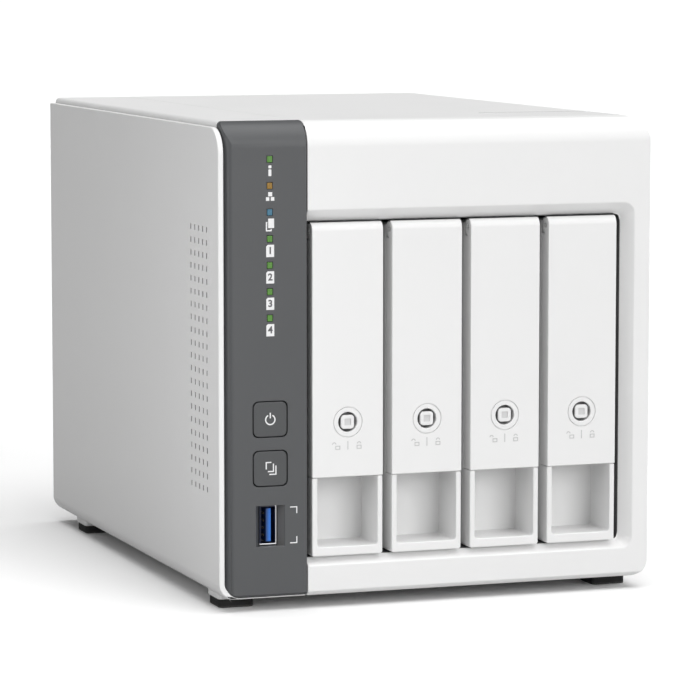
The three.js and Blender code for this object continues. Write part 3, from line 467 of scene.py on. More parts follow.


# The side panel: its vent holes stay crisp, and their walls carry painted shade
SIDE_LOW, SIDE_HIGH = span("side_panel")
VENTS_Y = (FRONT + 12.4, FRONT + 32.8)
VENTS_Z = (39.5, 133.0)
VENT_PAINTED_SHADE = 0.12
side_paint = Paint("side_white")
painted_shade_in_vent = side_paint.within((SIDE_LOW.x + 0.25, SIDE_HIGH.x), VENTS_Y, VENTS_Z)
side_white = moulded(side_paint, WHITE, WHITE_ROUGHNESS, (painted_shade_in_vent, VENT_PAINTED_SHADE))
side = soften_edges(
    from_node("side_panel", "side_shell"), width=0.45, fine=0.08,
    small=lambda place: VENTS_Y[0] < place.y < VENTS_Y[1] and VENTS_Z[0] < place.z < VENTS_Z[1],
)
settle(side, "enclosure", "white_plastic", side_white, "side_panel")

# ---- Label plate in the top ----
# A plain white foil stuck in the shallow recess near the front right corner. It is a little smaller and
# thinner than the recess, so that its edge shows as a fine line.
LABEL_GAP = 0.5
LABEL_ROUND = 1.6
LABEL_SUNK = (0.49, 0.12)
label_ring = rounded(
    LABEL_X[0] + LABEL_GAP, LABEL_X[1] - LABEL_GAP,
    LABEL_Y[0] + LABEL_GAP, LABEL_Y[1] - LABEL_GAP, LABEL_ROUND,
)
foil = Paint("label_foil")
foil.finish(
    Base_Color=foil.mix(foil.noise(60, 3), tone(0.95, 0.95, 0.95), tone(0.98, 0.98, 0.98)),
    Roughness=0.3 + foil.noise(900, 2) * 0.08,
    Normal=foil.bump(foil.noise(400, 2), 0.1, 0.01 * MM),
)
label = slab("label_plate", [label_ring], "z", *[COVER_HIGH.z - depth for depth in LABEL_SUNK])
settle(soften(label, 0.08, 2), "enclosure", "", foil.material)

# ---- Dark control strip ----
# A deep grey ABS moulding clipped into the side panel's pocket. Its symbols are printed in white on its
# front face, and seven small light windows show through it.
STRIP_HIGH = span("front_strip")[1]
CONTROL_X = sum(corner.x for corner in span("power_button")) / 2
PRINT_SUNK = 0.06


def set_back(piece):
    """Squeezes a piece towards its back by the print's thickness, so that print on its face ends up flush."""
    back = max(vertex.co.y for vertex in piece.data.vertices)
    share = 1 - PRINT_SUNK * MM / (back - FRONT * MM)
    for vertex in piece.data.vertices:
        vertex.co.y = back - (back - vertex.co.y) * share
    return piece


# Painted light: the right flank of the recess round the front socket is painted lighter
GREY = (0.078, 0.081, 0.085)
FLANK_WIDTH = 2.6
FLANK_PAINTED_LIGHT = 0.13
SOCKET_LOW, SOCKET_HIGH = span("usb_front_shell")
strip_paint = Paint("grey_plastic")
painted_light_on_flank = strip_paint.within(
    (SOCKET_HIGH.x, SOCKET_HIGH.x + FLANK_WIDTH),
    (FRONT + 0.3, SOCKET_LOW.y + 0.2),
    (SOCKET_LOW.z - 0.3, SOCKET_HIGH.z + 0.3),
)
grey_plastic = moulded(strip_paint, GREY, WHITE_ROUGHNESS, (painted_light_on_flank, FLANK_PAINTED_LIGHT))
strip = from_node("front_strip", "control_strip")

# Its lower right corner is made square before it is rounded, since its own arc is smaller than the rounding
EDGE_REACH = 0.15
ARC_REACH = 0.35
right_edge = [vertex for vertex in strip.data.vertices if vertex.co.x / MM > STRIP_HIGH.x - EDGE_REACH]
foot_of_edge = min(vertex.co.z for vertex in right_edge)
for vertex in right_edge:
    if vertex.co.z < foot_of_edge + ARC_REACH * MM:
        vertex.co.x = STRIP_HIGH.x * MM
        vertex.co.z = foot_of_edge
strip = set_back(soften(merge(strip), 0.2))

# Its face is shaded as one plane, whatever the faces that meet at its rounded edge
facing = [Vector(corner.vector) for corner in strip.data.corner_normals]
for loop in strip.data.loops:
    if strip.data.vertices[loop.vertex_index].co.y < (FRONT + PRINT_SUNK + 0.003) * MM:
        facing[loop.index] = Vector((0, -1, 0))
strip.data.normals_split_custom_set(facing)
settle(strip, "enclosure", "grey_plastic", grey_plastic, "front_strip")

# Light windows: coloured lenses at the tips of one clear guide, which leads to lamps on a small board
LIGHT_TOP = 155.7
LIGHT_PITCH = 9.05
LIGHT_SIZE = (1.8, 2.1)
LIGHT_ROUND = 0.2
LIGHT_GLOW = 0.1
LIGHT_COLOURS = {
    "green": ((0.085, 0.25, 0.03), (0, 3, 4, 5, 6)),
    "amber": ((0.3, 0.16, 0.012), (1,)),
    "blue": ((0.045, 0.167, 0.262), (2,)),
}


def lens(name, colour):
    """A tinted window, faintly lit from behind."""
    paint = Paint(name)
    deep = tone(*[c * 0.8 for c in colour])
    return paint.finish(
        Base_Color=paint.mix(paint.noise(700, 2), deep, tone(*colour)),
        Roughness=0.28 + paint.noise(1500) * 0.1,
        Emission_Color=paint.mix(paint.noise(500, 2), deep, tone(*colour)),
        Emission_Strength=LIGHT_GLOW,
        Normal=paint.bump(paint.noise(1200), 0.15, 0.02 * MM),
    )


for hue, (colour, places) in LIGHT_COLOURS.items():
    hue_paint = lens("lens_" + hue, colour)
    for place in places:
        z = LIGHT_TOP - place * LIGHT_PITCH
        ring = rounded(
            CONTROL_X - LIGHT_SIZE[0] / 2, CONTROL_X + LIGHT_SIZE[0] / 2,
            z - LIGHT_SIZE[1] / 2, z + LIGHT_SIZE[1] / 2, LIGHT_ROUND, 3,
        )
        window = soften(slab(f"light_window_{place + 1}", [ring], "y", FRONT + 0.1, FRONT + 0.95), 0.08, 2)
        settle(window, "enclosure", "clear_plastic", hue_paint)

clear = Paint("clear_plastic")
clear.finish(
    Base_Color=clear.mix(clear.noise(200, 2), tone(0.62, 0.66, 0.62), tone(0.75, 0.78, 0.75)),
    Roughness=0.16 + clear.noise(300, 3) * 0.12,
    Normal=clear.bump(clear.noise(500), 0.1, 0.02 * MM),
)

# The guide's tips are drawn back to make room for the lenses
TIP_BACK = 0.9
guide = from_node("light_guide", "light_guide_bar")
shift(guide, lambda place: place.y < FRONT + 0.2, (0, TIP_BACK, 0))
settle(soften(guide, 0.15, 2), "enclosure", "clear_plastic", clear.material, "light_guide")


def board_tracks(paint, place, scale, width):
    """Copper tracks of a printed board, as the joints of a brick pattern."""
    return paint.node("ShaderNodeTexBrick", {"offset": 0.35}, {
        "Vector": place, "Color1": tone(1, 1, 1), "Color2": tone(0.8, 0.8, 0.8), "Mortar": tone(0, 0, 0),
        "Scale": scale, "Mortar Size": width,
    }, "Fac")


def circuit(name, colour, scale):
    """A printed board: solder resist over tracks that stand up a little, in two shades of one colour."""
    paint = Paint(name)
    tracks = board_tracks(paint, paint.place, scale, 0.06)
    dark = tone(*[c * 0.62 for c in colour])
    return paint.finish(
        Base_Color=paint.mix(tracks * paint.noise(90, 1), tone(*colour), dark),
        Roughness=0.34 + paint.noise(300, 2) * 0.14,
        Normal=paint.bump(tracks, 0.2, 0.04 * MM),
    )


board_green = circuit("circuit_board", (0.012, 0.1, 0.04), 190)
dress("front_board", "control_board", "circuit_board", board_green, 0.12)

# White print: "on" mark, network mark, two sheets, and numbered tiles for the four drives
PRINT_Y = (FRONT, FRONT + PRINT_SUNK + 0.03)
white_ink = Paint("white_ink")
white_ink.finish(
    Base_Color=white_ink.mix(white_ink.noise(900, 2), tone(0.82, 0.82, 0.83), tone(0.92, 0.92, 0.92)),
    Roughness=0.5 + white_ink.noise(1400) * 0.1,
    Normal=white_ink.bump(white_ink.noise(2500), 0.2, 0.01 * MM),
)
TILE_HALF = (1.425, 2.1)
TILE_CLIP = 0.55
TILE_DROP = 4.1
TILE_RIGHT = 0.08


def from_light(place, rings):
    """Rings drawn from the middle of a light window, moved to the strip."""
    z = LIGHT_TOP - place * LIGHT_PITCH
    return [[(CONTROL_X + u, z + v) for u, v in ring] for ring in rings]


# A tile is a rectangle with its upper left corner clipped
tile_u, tile_v = TILE_HALF
tile = [
    (-tile_u, -tile_v), (tile_u, -tile_v), (tile_u, tile_v),
    (TILE_CLIP - tile_u, tile_v), (-tile_u, tile_v - TILE_CLIP),
]
on_mark = [rounded(-0.5, 0.6, -3.1, -2.1, 0.25, 3), rounded(-0.5, 0.56, -5.75, -3.45, 0.2, 3)]
network_mark = [
    block(-0.6, 0.85, -3.6, -2.15), block(-1.4, -0.2, -5.1, -3.85), block(0.35, 1.6, -5.1, -3.85),
]
sheets_mark = [
    block(-0.6, 1.5, -5.35, -2.1), block(-1.45, -1.0, -6.45, -3.25), block(-1.0, 0.65, -6.45, -6.0),
    block(0.3, 0.65, -6.0, -5.65), block(-1.0, -0.85, -3.55, -3.25),
]
tile_marks = [[(u + TILE_RIGHT, v - TILE_DROP) for u, v in tile]]
marks = from_light(0, on_mark) + from_light(1, network_mark) + from_light(2, sheets_mark)
for place in (3, 4, 5, 6):
    marks += from_light(place, tile_marks)
settle(slab("strip_marks", marks, "y", FRONT + 0.03, PRINT_Y[1]), "enclosure", "", white_ink.material)

dark_ink = Paint("dark_ink")
dark_ink.finish(
    Base_Color=dark_ink.mix(dark_ink.noise(900, 2), tone(0.1, 0.1, 0.105), tone(0.14, 0.14, 0.145)),
    Roughness=0.55 + dark_ink.noise(1400) * 0.1,
    Normal=dark_ink.bump(dark_ink.noise(2500), 0.2, 0.01 * MM),
)
NUMERAL_SIZE = 3.3
NUMERAL_THICKNESS = 0.02
NUMERAL_WEIGHT = 0.1
for number in (1, 2, 3, 4):
    bpy.ops.object.select_all(action="DESELECT")
    bpy.ops.object.text_add()
    numeral = bpy.context.active_object
    numeral.data.body = str(number)
    numeral.data.size = NUMERAL_SIZE * MM
    numeral.data.extrude = NUMERAL_THICKNESS * MM
    numeral.data.offset = NUMERAL_WEIGHT * MM
    numeral.data.align_x = "CENTER"
    numeral.data.align_y = "CENTER"
    bpy.ops.object.convert(target="MESH")
    z = LIGHT_TOP - (number + 2) * LIGHT_PITCH - TILE_DROP
    numeral.location = ((CONTROL_X + 0.1) * MM, (FRONT + 0.022) * MM, z * MM)
    numeral.rotation_euler = (math.pi / 2, 0, 0)
    bpy.ops.object.transform_apply(location=True, rotation=True, scale=True)
    numeral.name = f"tile_numeral_{number}"
    settle(numeral, "enclosure", "", dark_ink.material)

# Corner marks beside the front socket
MARK_X = (CONTROL_X + 7.1, CONTROL_X + 9.7)
MARK_STROKE = 0.35
MARK_HEIGHT = 2.4
top_z = SOCKET_HIGH.z - 0.3
low_z = SOCKET_LOW.z + 0.5
corner_marks = slab(
    "socket_marks",
    [
        block(MARK_X[0], MARK_X[1], top_z - MARK_STROKE, top_z),
        block(MARK_X[1] - MARK_STROKE, MARK_X[1], top_z - MARK_HEIGHT, top_z - MARK_STROKE),
        block(MARK_X[0], MARK_X[1], low_z, low_z + MARK_STROKE),
        block(MARK_X[1] - MARK_STROKE, MARK_X[1], low_z + MARK_STROKE, low_z + MARK_HEIGHT),
    ],
    "y", *PRINT_Y,
)
settle(corner_marks, "enclosure", "", white_ink.material)

# ---- Push buttons ----
# Two square caps in the strip's plastic, a shade darker and smoother, each on its own stem over a switch.
# Their symbols are printed: an open ring with a bar, and two overlapping sheets.
button_plastic = moulded(Paint("button_plastic"), (0.066, 0.069, 0.072), 0.42, drift=0.03)
ON_RING = (1.45, 1.9)
ON_GAP = (62, 118)
ON_BAR_HALF = 0.21
SHEET_STROKE = 0.4


def sheet_rings(z):
    """Two overlapping sheets: two opposite corners of one, and the lower right corner of the other."""
    half = SHEET_STROKE / 2
    strokes = [
        block(-1.5 - half, 0.35, 2.15 - half, 2.15 + half),
        block(-1.5 - half, -1.5 + half, -0.2, 2.15 - half),
        block(-0.9, 1.1 + half, -1.0 - half, -1.0 + half),
        block(1.1 - half, 1.1 + half, -1.0 + half, 1.7),
        block(-0.4, 2.0 + half, -2.0 - half, -2.0 + half),
        block(2.0 - half, 2.0 + half, -2.0 + half, 1.0),
    ]
    return [[(CONTROL_X + u, z + v) for u, v in ring] for ring in strokes]


for body, name in (("power_button", "power_cap"), ("copy_button", "copy_cap")):
    cap = set_back(soften(from_node(body, name), 0.3))
    settle(cap, body, "button_plastic", button_plastic, body)
power_z = sum(corner.z for corner in span("power_button")) / 2
copy_z = sum(corner.z for corner in span("copy_button")) / 2
on_rings = [
    arc(CONTROL_X, power_z - 0.1, ON_RING[0], ON_RING[1], ON_GAP[1], ON_GAP[0] + 360),
    block(CONTROL_X - ON_BAR_HALF, CONTROL_X + ON_BAR_HALF, power_z + 0.35, power_z + 2.3),
]
settle(slab("power_mark", on_rings, "y", *PRINT_Y), "power_button", "", white_ink.material)
settle(slab("copy_mark", sheet_rings(copy_z), "y", *PRINT_Y), "copy_button", "", white_ink.material)

# ---- Front socket ----
# A folded bright steel shell with painted shade inside it, and a blue insulator: a block at the back, and a
# tongue with gold contacts on its left. It is soldered to the board behind the strip.


def metal(name, colour, roughness, scales, streak=0.1, bump=0.02):
    """Worked metal: streaks or spangle stretched one way, in shade, sheen and surface."""
    paint = Paint(name)
    streaks = paint.noise(1, 3, 0.55, paint.stretched(scales))
    dark = tone(*[c * 0.82 for c in colour])
    return paint.finish(
        Base_Color=paint.mix(streaks, dark, tone(*colour)),
        Metallic=1.0,
        Roughness=roughness - streak / 2 + streaks * streak,
        Normal=paint.bump(streaks, 0.15, bump * MM),
    )


DRAWN = (300, 2500, 300)
bright_steel = metal("bright_steel", (0.72, 0.72, 0.73), 0.26, DRAWN)


def lined_steel(paint, deep, inside, roughness, streak):
    """Bright drawn steel, with the colour of the inside where the mask deep is 1."""
    streaks = paint.noise(1, 3, 0.55, paint.stretched(DRAWN))
    steel = paint.mix(streaks, tone(0.58, 0.58, 0.59), tone(0.72, 0.72, 0.73))
    return paint.finish(
        Base_Color=paint.mix(deep, steel, inside),
        Metallic=1.0 - deep,
        Roughness=roughness + streaks * streak,
        Normal=paint.bump(streaks, 0.15, 0.02 * MM),
    )


# The shell carries painted shade behind its rim, and a painted shadow on its left and upper rims
RIM_DEPTH = 0.25
LIT_RIM = 0.6
shell_paint = Paint("front_socket_steel")
shell_painted_shade = shell_paint.along("Y").above((SOCKET_LOW.y + RIM_DEPTH) * MM)
off_right_rim = shell_paint.along("X").below((SOCKET_HIGH.x - LIT_RIM) * MM)
painted_shadow_on_rims = off_right_rim * shell_paint.along("Z").above((SOCKET_LOW.z + LIT_RIM) * MM)
shell_painted_shade = shell_painted_shade + painted_shadow_on_rims - shell_painted_shade * painted_shadow_on_rims
shell_steel = lined_steel(shell_paint, shell_painted_shade, tone(0.012, 0.016, 0.045), 0.24, 0.1)
dress("usb_front_shell", "front_socket_shell", "bright_steel", shell_steel, 0.12)

# The blue insulator, with painted shade that darkens it towards its left
TONGUE_LOW, TONGUE_HIGH = span("usb_front_tongue")
TONGUE_RIGHT = 1.35
TONGUE_X = (TONGUE_LOW.x + TONGUE_RIGHT, TONGUE_HIGH.x + TONGUE_RIGHT)
BLOCK_SUNK = 4.5
blue_paint = Paint("blue_plastic")
across = blue_paint.node("ShaderNodeMapRange", {"interpolation_type": "SMOOTHSTEP"}, {
    "Value": blue_paint.along("X"),
    "From Min": (TONGUE_X[0] - 0.2) * MM,
    "From Max": (TONGUE_X[1] - 0.3) * MM,
})
blue_paint.finish(
    Base_Color=blue_paint.mix(across, tone(0.004, 0.022, 0.11), tone(0.02, 0.19, 0.72)),
    Roughness=0.3 + blue_paint.noise(300, 3) * 0.1,
    Normal=blue_paint.bump(blue_paint.noise(900, 2), 0.25, 0.012 * MM),
)
insulator = [
    (TONGUE_X[0], TONGUE_LOW.y), (TONGUE_X[1], TONGUE_LOW.y), (TONGUE_X[1], TONGUE_HIGH.y),
    (TONGUE_LOW.x, TONGUE_HIGH.y), (TONGUE_LOW.x, TONGUE_LOW.y + BLOCK_SUNK),
    (TONGUE_X[0], TONGUE_LOW.y + BLOCK_SUNK),
]
tongue = soften(slab("front_socket_tongue", [insulator], "z", TONGUE_LOW.z, TONGUE_HIGH.z), 0.15, 2)
settle(tongue, "enclosure", "blue_plastic", blue_paint.material, "usb_front_tongue")
gold = metal("gold_contacts", (0.83, 0.6, 0.26), 0.25, (900, 200, 900))
CONTACT_INSET = 1.9
CONTACT_FRONT = 2.4
contact_pitch = (TONGUE_HIGH.z - TONGUE_LOW.z - 2 * CONTACT_INSET) / 3
contact_rings = []
for contact in range(4):
    z = TONGUE_LOW.z + CONTACT_INSET + contact * contact_pitch
    contact_rings.append(
        rounded(TONGUE_LOW.y + CONTACT_FRONT, TONGUE_LOW.y + BLOCK_SUNK, z - 0.5, z + 0.5, 0.2, 2)
    )
contacts = slab("front_socket_contacts", contact_rings, "x", TONGUE_X[0] - 0.08, TONGUE_X[0] + 0.05)
settle(contacts, "enclosure", "", gold)

# ---- Feet ----
# Four square pads of black rubber, glued to the moulded plinths, with a slightly worn, dusty lower edge.
rubber = Paint("rubber")
WORN_HEIGHT = 0.7
near_floor = rubber.along("Z").below(WORN_HEIGHT * MM)
rubber_shade = rubber.mix(rubber.noise(220, 4, 0.6), tone(0.012, 0.012, 0.012), tone(0.028, 0.028, 0.028))
rubber.finish(
    Base_Color=rubber.mix(near_floor * rubber.noise(500, 2), rubber_shade, tone(0.09, 0.088, 0.085)),
    Roughness=0.78 + rubber.noise(150, 3) * 0.16,
    Normal=rubber.bump(rubber.noise(1500, 3, 0.6), 0.4, 0.05 * MM),
)
for corner in ("front_left", "front_right", "rear_left", "rear_right"):
    dress("foot_" + corner, "pad_" + corner, "rubber", rubber.material, 0.35)

# ---- Drive cage and guides ----
# Folded galvanised sheet: floor and two walls in one, and a lid screwed on. Black plastic combs on the floor
# and under the lid lead the trays, and a printed board across the back carries one connector per drive.
sheet_steel = Paint("sheet_steel")
spangle = sheet_steel.node("ShaderNodeTexVoronoi", {}, {"Vector": sheet_steel.place, "Scale": 160}, "Color")
spangle = sheet_steel.node("ShaderNodeSeparateColor", {}, {0: spangle}, 0)
sheet_steel.finish(
    Base_Color=sheet_steel.mix(spangle, tone(0.44, 0.45, 0.46), tone(0.58, 0.59, 0.6)),
    Metallic=0.9,
    Roughness=0.34 + spangle * 0.16,
    Normal=sheet_steel.bump(sheet_steel.noise(700, 3), 0.1, 0.02 * MM),
)
dress("drive_cage", "cage_shell", "sheet_steel", sheet_steel.material, 0.2)
dress("cage_top", "cage_lid", "sheet_steel", sheet_steel.material, 0.2)
black_plastic = moulded(Paint("black_plastic"), (0.02, 0.02, 0.021), 0.48, grain=2000, depth=0.02, drift=0.12)
dress("guide_bottom", "guide_comb_low", "black_plastic", black_plastic, 0.25)
dress("guide_top", "guide_comb_high", "black_plastic", black_plastic, 0.25)
dress("backplane", "drive_backplane", "circuit_board", board_green, 0.12)
for bay in (1, 2, 3, 4):
    dress(f"drive_socket_{bay}", f"drive_connector_{bay}", "black_plastic", black_plastic, 0.2)

# ---- Main board and what it carries ----
# It stands on edge between the cage and the side panel, on pillars, with the finned cooler of its processor,
# one memory module and the clock's coin cell.
BOARD_HIGH = span("main_board")[1]
BOARD_THICKNESS = 1.7
main_paint = Paint("main_board_paint")
board_place = main_paint.node(
    "ShaderNodeMapping", {}, {"Vector": main_paint.place, "Rotation": (0, math.pi / 2, 0)}
)
tracks = board_tracks(main_paint, board_place, 150, 0.05)
on_board = main_paint.along("X").above((BOARD_HIGH.x - BOARD_THICKNESS) * MM)
board_shade = main_paint.mix(
    tracks * main_paint.noise(90, 1), tone(0.012, 0.1, 0.04), tone(0.007, 0.062, 0.025)
)
main_paint.finish(
    Base_Color=main_paint.mix(on_board, tone(0.016, 0.016, 0.017), board_shade),
    Roughness=0.36 + main_paint.noise(300, 2) * 0.14,
    Normal=main_paint.bump(tracks, 0.2, 0.04 * MM),
)
dress("main_board", "mother_board", "circuit_board", main_paint.material, 0.12)
aluminium = metal("aluminium", (0.62, 0.63, 0.64), 0.4, (2500, 2500, 120), 0.16)
dress("heatsink", "finned_cooler", "aluminium", aluminium, 0.15)
dress("memory_module", "memory_stick", "circuit_board", board_green, 0.1)
dress("coin_cell", "clock_cell", "bright_steel", bright_steel, 0.25)

# ---- Rear sockets and reset button ----
# Folded steel shells and moulded bodies soldered along the board's rear edge. Inside them are black plastic,
# blue tongues and gold springs.
PORT_BACK = span("dc_jack")[1].y
REAR_RIM = 0.45


def socket_paint(name, *lit):
    """Bright steel outside and black inside, with blue between the lit places along X, in millimetres."""
    paint = Paint(name)
    deep = paint.along("Y").below((PORT_BACK - REAR_RIM) * MM)
    inside = tone(0.015, 0.015, 0.016)
    for low, high in lit:
        inside = paint.mix(paint.along("X").between(low * MM, high * MM), inside, tone(0.01, 0.05, 0.4))
    return lined_steel(paint, deep, inside, 0.22, 0.14)


lan_paint = socket_paint("lan_socket")
SPRING_COUNT = 8
SPRING_PITCH = 1.02
SPRING_HALF = 0.22
for port in (1, 2):
    dress(f"lan_port_{port}", f"network_socket_{port}", "bright_steel", lan_paint, 0.15)
    low, high = span(f"lan_port_{port}")
    springs = []
    for spring in range(SPRING_COUNT):
        z = (low.z + high.z) / 2 + (spring - (SPRING_COUNT - 1) / 2) * SPRING_PITCH
        springs.append(block(high.x - 3.4, high.x - 2.9, z - SPRING_HALF, z + SPRING_HALF))
    row = slab(f"network_springs_{port}", springs, "y", high.y - 11, high.y - 2)
    settle(row, "enclosure", "", gold)
USB_LOW, USB_HIGH = span("usb_rear")
usb_middles = [USB_HIGH.x - (USB_HIGH.x - USB_LOW.x) * share - 0.95 for share in (0.25, 0.75)]
usb_lit = [(middle - 1, middle + 1) for middle in usb_middles]
dress("usb_rear", "rear_socket_stack", "bright_steel", socket_paint("usb_socket", *usb_lit), 0.12)

JACK_PIN_R = 1.25
jack_paint = Paint("jack_body")
jack_low, jack_high = span("dc_jack")
off_x = jack_paint.along("X") - (jack_low.x + jack_high.x) / 2 * MM
off_z = jack_paint.along("Z") - (jack_low.z + jack_high.z) / 2 * MM
on_pin = (off_x * off_x + off_z * off_z).below((JACK_PIN_R * MM) ** 2)
jack_shade = jack_paint.mix(jack_paint.noise(60, 3), tone(0.014, 0.014, 0.015), tone(0.024, 0.024, 0.025))
jack_paint.finish(
    Base_Color=jack_paint.mix(on_pin, jack_shade, tone(0.7, 0.68, 0.62)),
    Metallic=on_pin,
    Roughness=0.46 - on_pin * 0.2 + jack_paint.noise(200, 2) * 0.08,
    Normal=jack_paint.bump(jack_paint.noise(1800, 2), 0.25, 0.015 * MM),
)
dress("dc_jack", "power_jack", "black_plastic", jack_paint.material, 0.25)
dress("reset_button", "reset_cap", "black_plastic", black_plastic, 0.2, "reset_button")

# ---- Rear wall and fan ----
# A flat panel of powder-coated sheet closes the back: a honeycomb of punched hexagons over the 120 mm fan,
# cut-outs for the sockets and a slot for a security cable. Four countersunk-headed screws hold the fan.
rear_sheet = Paint("rear_sheet")
peel = rear_sheet.noise(520, 2, 0.5)
rear_sheet.finish(
    Base_Color=rear_sheet.mix(rear_sheet.noise(25, 3), tone(0.5, 0.505, 0.51), tone(0.55, 0.553, 0.556)),
    Roughness=0.42 + rear_sheet.noise(90, 3) * 0.1,
    Coat_Weight=0.15,
    Normal=rear_sheet.bump(peel, 0.3, 0.05 * MM),
)
dress("rear_panel", "rear_wall", "rear_sheet", rear_sheet.material, 0.15)
dress("fan_frame", "fan_housing", "black_plastic", black_plastic, 0.4)

# The impeller: a cup for the motor with seven curved blades, each twisted towards its tip
ROTOR_LOW, ROTOR_HIGH = span("fan_rotor")
FAN_X, _, FAN_Z = sum(span("fan_frame"), Vector()) / 2
HUB_R = 19.5
TIP_R = 55.5
BLADE_COUNT = 7
BLADE_CELLS = 8
BLADE_THICKNESS = 1.4
BLADE_SUNK = 0.6
BLADE_CHORDS = (14, 24)
BLADE_PITCHES = (50, 32)
BLADE_SWEEP = 0.14
BLADE_CAMBER = 1.1
cup = soften(bar("impeller", "y", FAN_X, FAN_Z, HUB_R, ROTOR_LOW.y + 0.4, ROTOR_HIGH.y - 0.1, 64), 1.2, 4)
blades = [cup]
for number in range(BLADE_COUNT):
    blade = bpy.data.meshes.new("blade")
    shape = bmesh.new()
    rows = []
    for ring in range(BLADE_CELLS + 1):
        share = ring / BLADE_CELLS
        out = HUB_R - BLADE_SUNK + (TIP_R - HUB_R + BLADE_SUNK) * share
        pitch = math.radians(BLADE_PITCHES[0] + (BLADE_PITCHES[1] - BLADE_PITCHES[0]) * share)
        chord = BLADE_CHORDS[0] + (BLADE_CHORDS[1] - BLADE_CHORDS[0]) * share
        row = []
        for step in range(BLADE_CELLS + 1):
            off = step / BLADE_CELLS - 0.5
            sweep = off * chord * math.cos(pitch) / out + BLADE_SWEEP * share ** 2
            rise = off * chord * math.sin(pitch) + BLADE_CAMBER * (0.25 - off ** 2)
            angle = math.tau * number / BLADE_COUNT + sweep
            y = (ROTOR_LOW.y + ROTOR_HIGH.y) / 2 + rise
            place = (FAN_X + out * math.cos(angle), y, FAN_Z - out * math.sin(angle))
            row.append(shape.verts.new(Vector(place) * MM))
        rows.append(row)
    for inner, outer in zip(rows, rows[1:]):
        for a, b, c, d in zip(inner, inner[1:], outer[1:], outer):
            shape.faces.new((a, b, c, d))
    shape.to_mesh(blade)
    shape.free()
    sheet = bpy.data.objects.new("blade", blade)
    bpy.context.scene.collection.objects.link(sheet)
    thickness = sheet.modifiers.new("thickness", "SOLIDIFY")
    thickness.thickness = BLADE_THICKNESS * MM
    thickness.offset = 0
    activate(sheet)
    bpy.ops.object.modifier_apply(modifier=thickness.name)
    blades.append(even(sheet))
settle(together("impeller", blades), "fan_rotor", "black_plastic", black_plastic, "fan_rotor")

# The first screw gets a cross recess, and the others are copies of it
CROSS_REACH = 1.7
CROSS_HALF = 0.4
CROSS_DEPTH = 1.0
screw = soften(from_node("fan_screw_1", "fan_bolt_1"), 0.35)
SCREW_LOW, SCREW_HIGH = span("fan_screw_1")
screw_x = (SCREW_LOW.x + SCREW_HIGH.x) / 2
screw_z = (SCREW_LOW.z + SCREW_HIGH.z) / 2
for wide, tall in ((CROSS_REACH, CROSS_HALF), (CROSS_HALF, CROSS_REACH)):
    ring = block(screw_x - wide, screw_x + wide, screw_z - tall, screw_z + tall)
    carve(screw, slab("recess", [ring], "y", SCREW_HIGH.y - CROSS_DEPTH, SCREW_HIGH.y + 1))
even(screw)
for number in (2, 3, 4):
    other = repeat(screw, f"fan_bolt_{number}", span(f"fan_screw_{number}")[0] - SCREW_LOW)
    settle(other, "enclosure", "bright_steel", bright_steel, f"fan_screw_{number}")
settle(screw, "enclosure", "bright_steel", bright_steel, "fan_screw_1")

# ---- Drive bays ----
# Each bay holds a white moulded tray with a finger pocket at its foot, a lever plate that hinges on a steel
# pin at the top, a quarter-turn lock in the lever, and a bare 3.5-inch drive between the tray's rails.
LEVER_LOW, LEVER_HIGH = span("lever_1")
LOCK_LOW, LOCK_HIGH = span("lock_1")
LOCK_X = (LEVER_LOW.x + LEVER_HIGH.x) / 2
LOCK_Z = LOCK_LOW.z + (LOCK_HIGH.x - LOCK_LOW.x) / 2
RING_R = 5.2
RING_HALF = 0.16
RING_DEPTH = 0.6
EAR_HEIGHT = 6
TOP_PAINTED_SHADE = 0.12

# The lever: crisp at the slots for the tray's ears, with painted shade on its top, and with a fine ring sunk
# round the lock
tray = soften(from_node("tray_1", "bay_tray_1"), 0.4)
lever = set_back(soften_edges(
    from_node("lever_1", "bay_lever_1"), width=0.25, fine=0.04,
    small=lambda place: place.y > FRONT + 0.8 and place.z > LEVER_HIGH.z - EAR_HEIGHT,
))
groove = bar("groove", "y", LOCK_X, LOCK_Z, RING_R + RING_HALF, FRONT - 1, FRONT + RING_DEPTH, 64)
lever_paint = Paint("lever_white")
painted_shade_on_top = lever_paint.within(
    (-60, 75), (FRONT + 2.4, FRONT + 12), (LEVER_HIGH.z - 0.5, LEVER_HIGH.z + 0.1)
)
lever_white = moulded(lever_paint, WHITE, WHITE_ROUGHNESS, (painted_shade_on_top, TOP_PAINTED_SHADE))
carve(groove, bar("core", "y", LOCK_X, LOCK_Z, RING_R - RING_HALF, FRONT - 2, FRONT + 1, 64))
even(carve(lever, groove))

# The lock's boss is a rounded square with a smaller sunk square for the tool that turns it. Its well and the
# bottom of the sunk square carry painted shade
PIT_HALF = 1.2
PIT_DEPTH = 0.55
WELL_DEPTH = 1.2
lock = soften(from_node("lock_1", "bay_lock_1"), 0.25)
pit = rounded(LOCK_X - PIT_HALF, LOCK_X + PIT_HALF, LOCK_Z - PIT_HALF, LOCK_Z + PIT_HALF, 0.3, 3)
carve(lock, slab("pit", [pit], "y", FRONT - 1, FRONT + PIT_DEPTH))
even(lock)
lock_paint = Paint("lock_plastic")
painted_shade_in_well = lock_paint.along("Y").above((FRONT + WELL_DEPTH) * MM)
painted_shade_in_pit = lock_paint.along("Y").between((FRONT + 0.4) * MM, (FRONT + 0.6) * MM)
lock_white = lock_paint.mix(lock_paint.noise(18, 3), tone(0.86, 0.86, 0.858), tone(0.88, 0.88, 0.878))
lock_paint.finish(
    Base_Color=lock_paint.mix(
        painted_shade_in_well, lock_paint.mix(painted_shade_in_pit, lock_white, tone(0.68, 0.68, 0.68)), tone(0.17, 0.17, 0.174)
    ),
    Roughness=0.42 + lock_paint.noise(60, 3) * 0.08,
    Normal=lock_paint.bump(lock_paint.noise(2600, 2), 0.25, 0.012 * MM),
)
pin = soften(from_node("lever_pin_1", "bay_pin_1"), 0.15, 2)

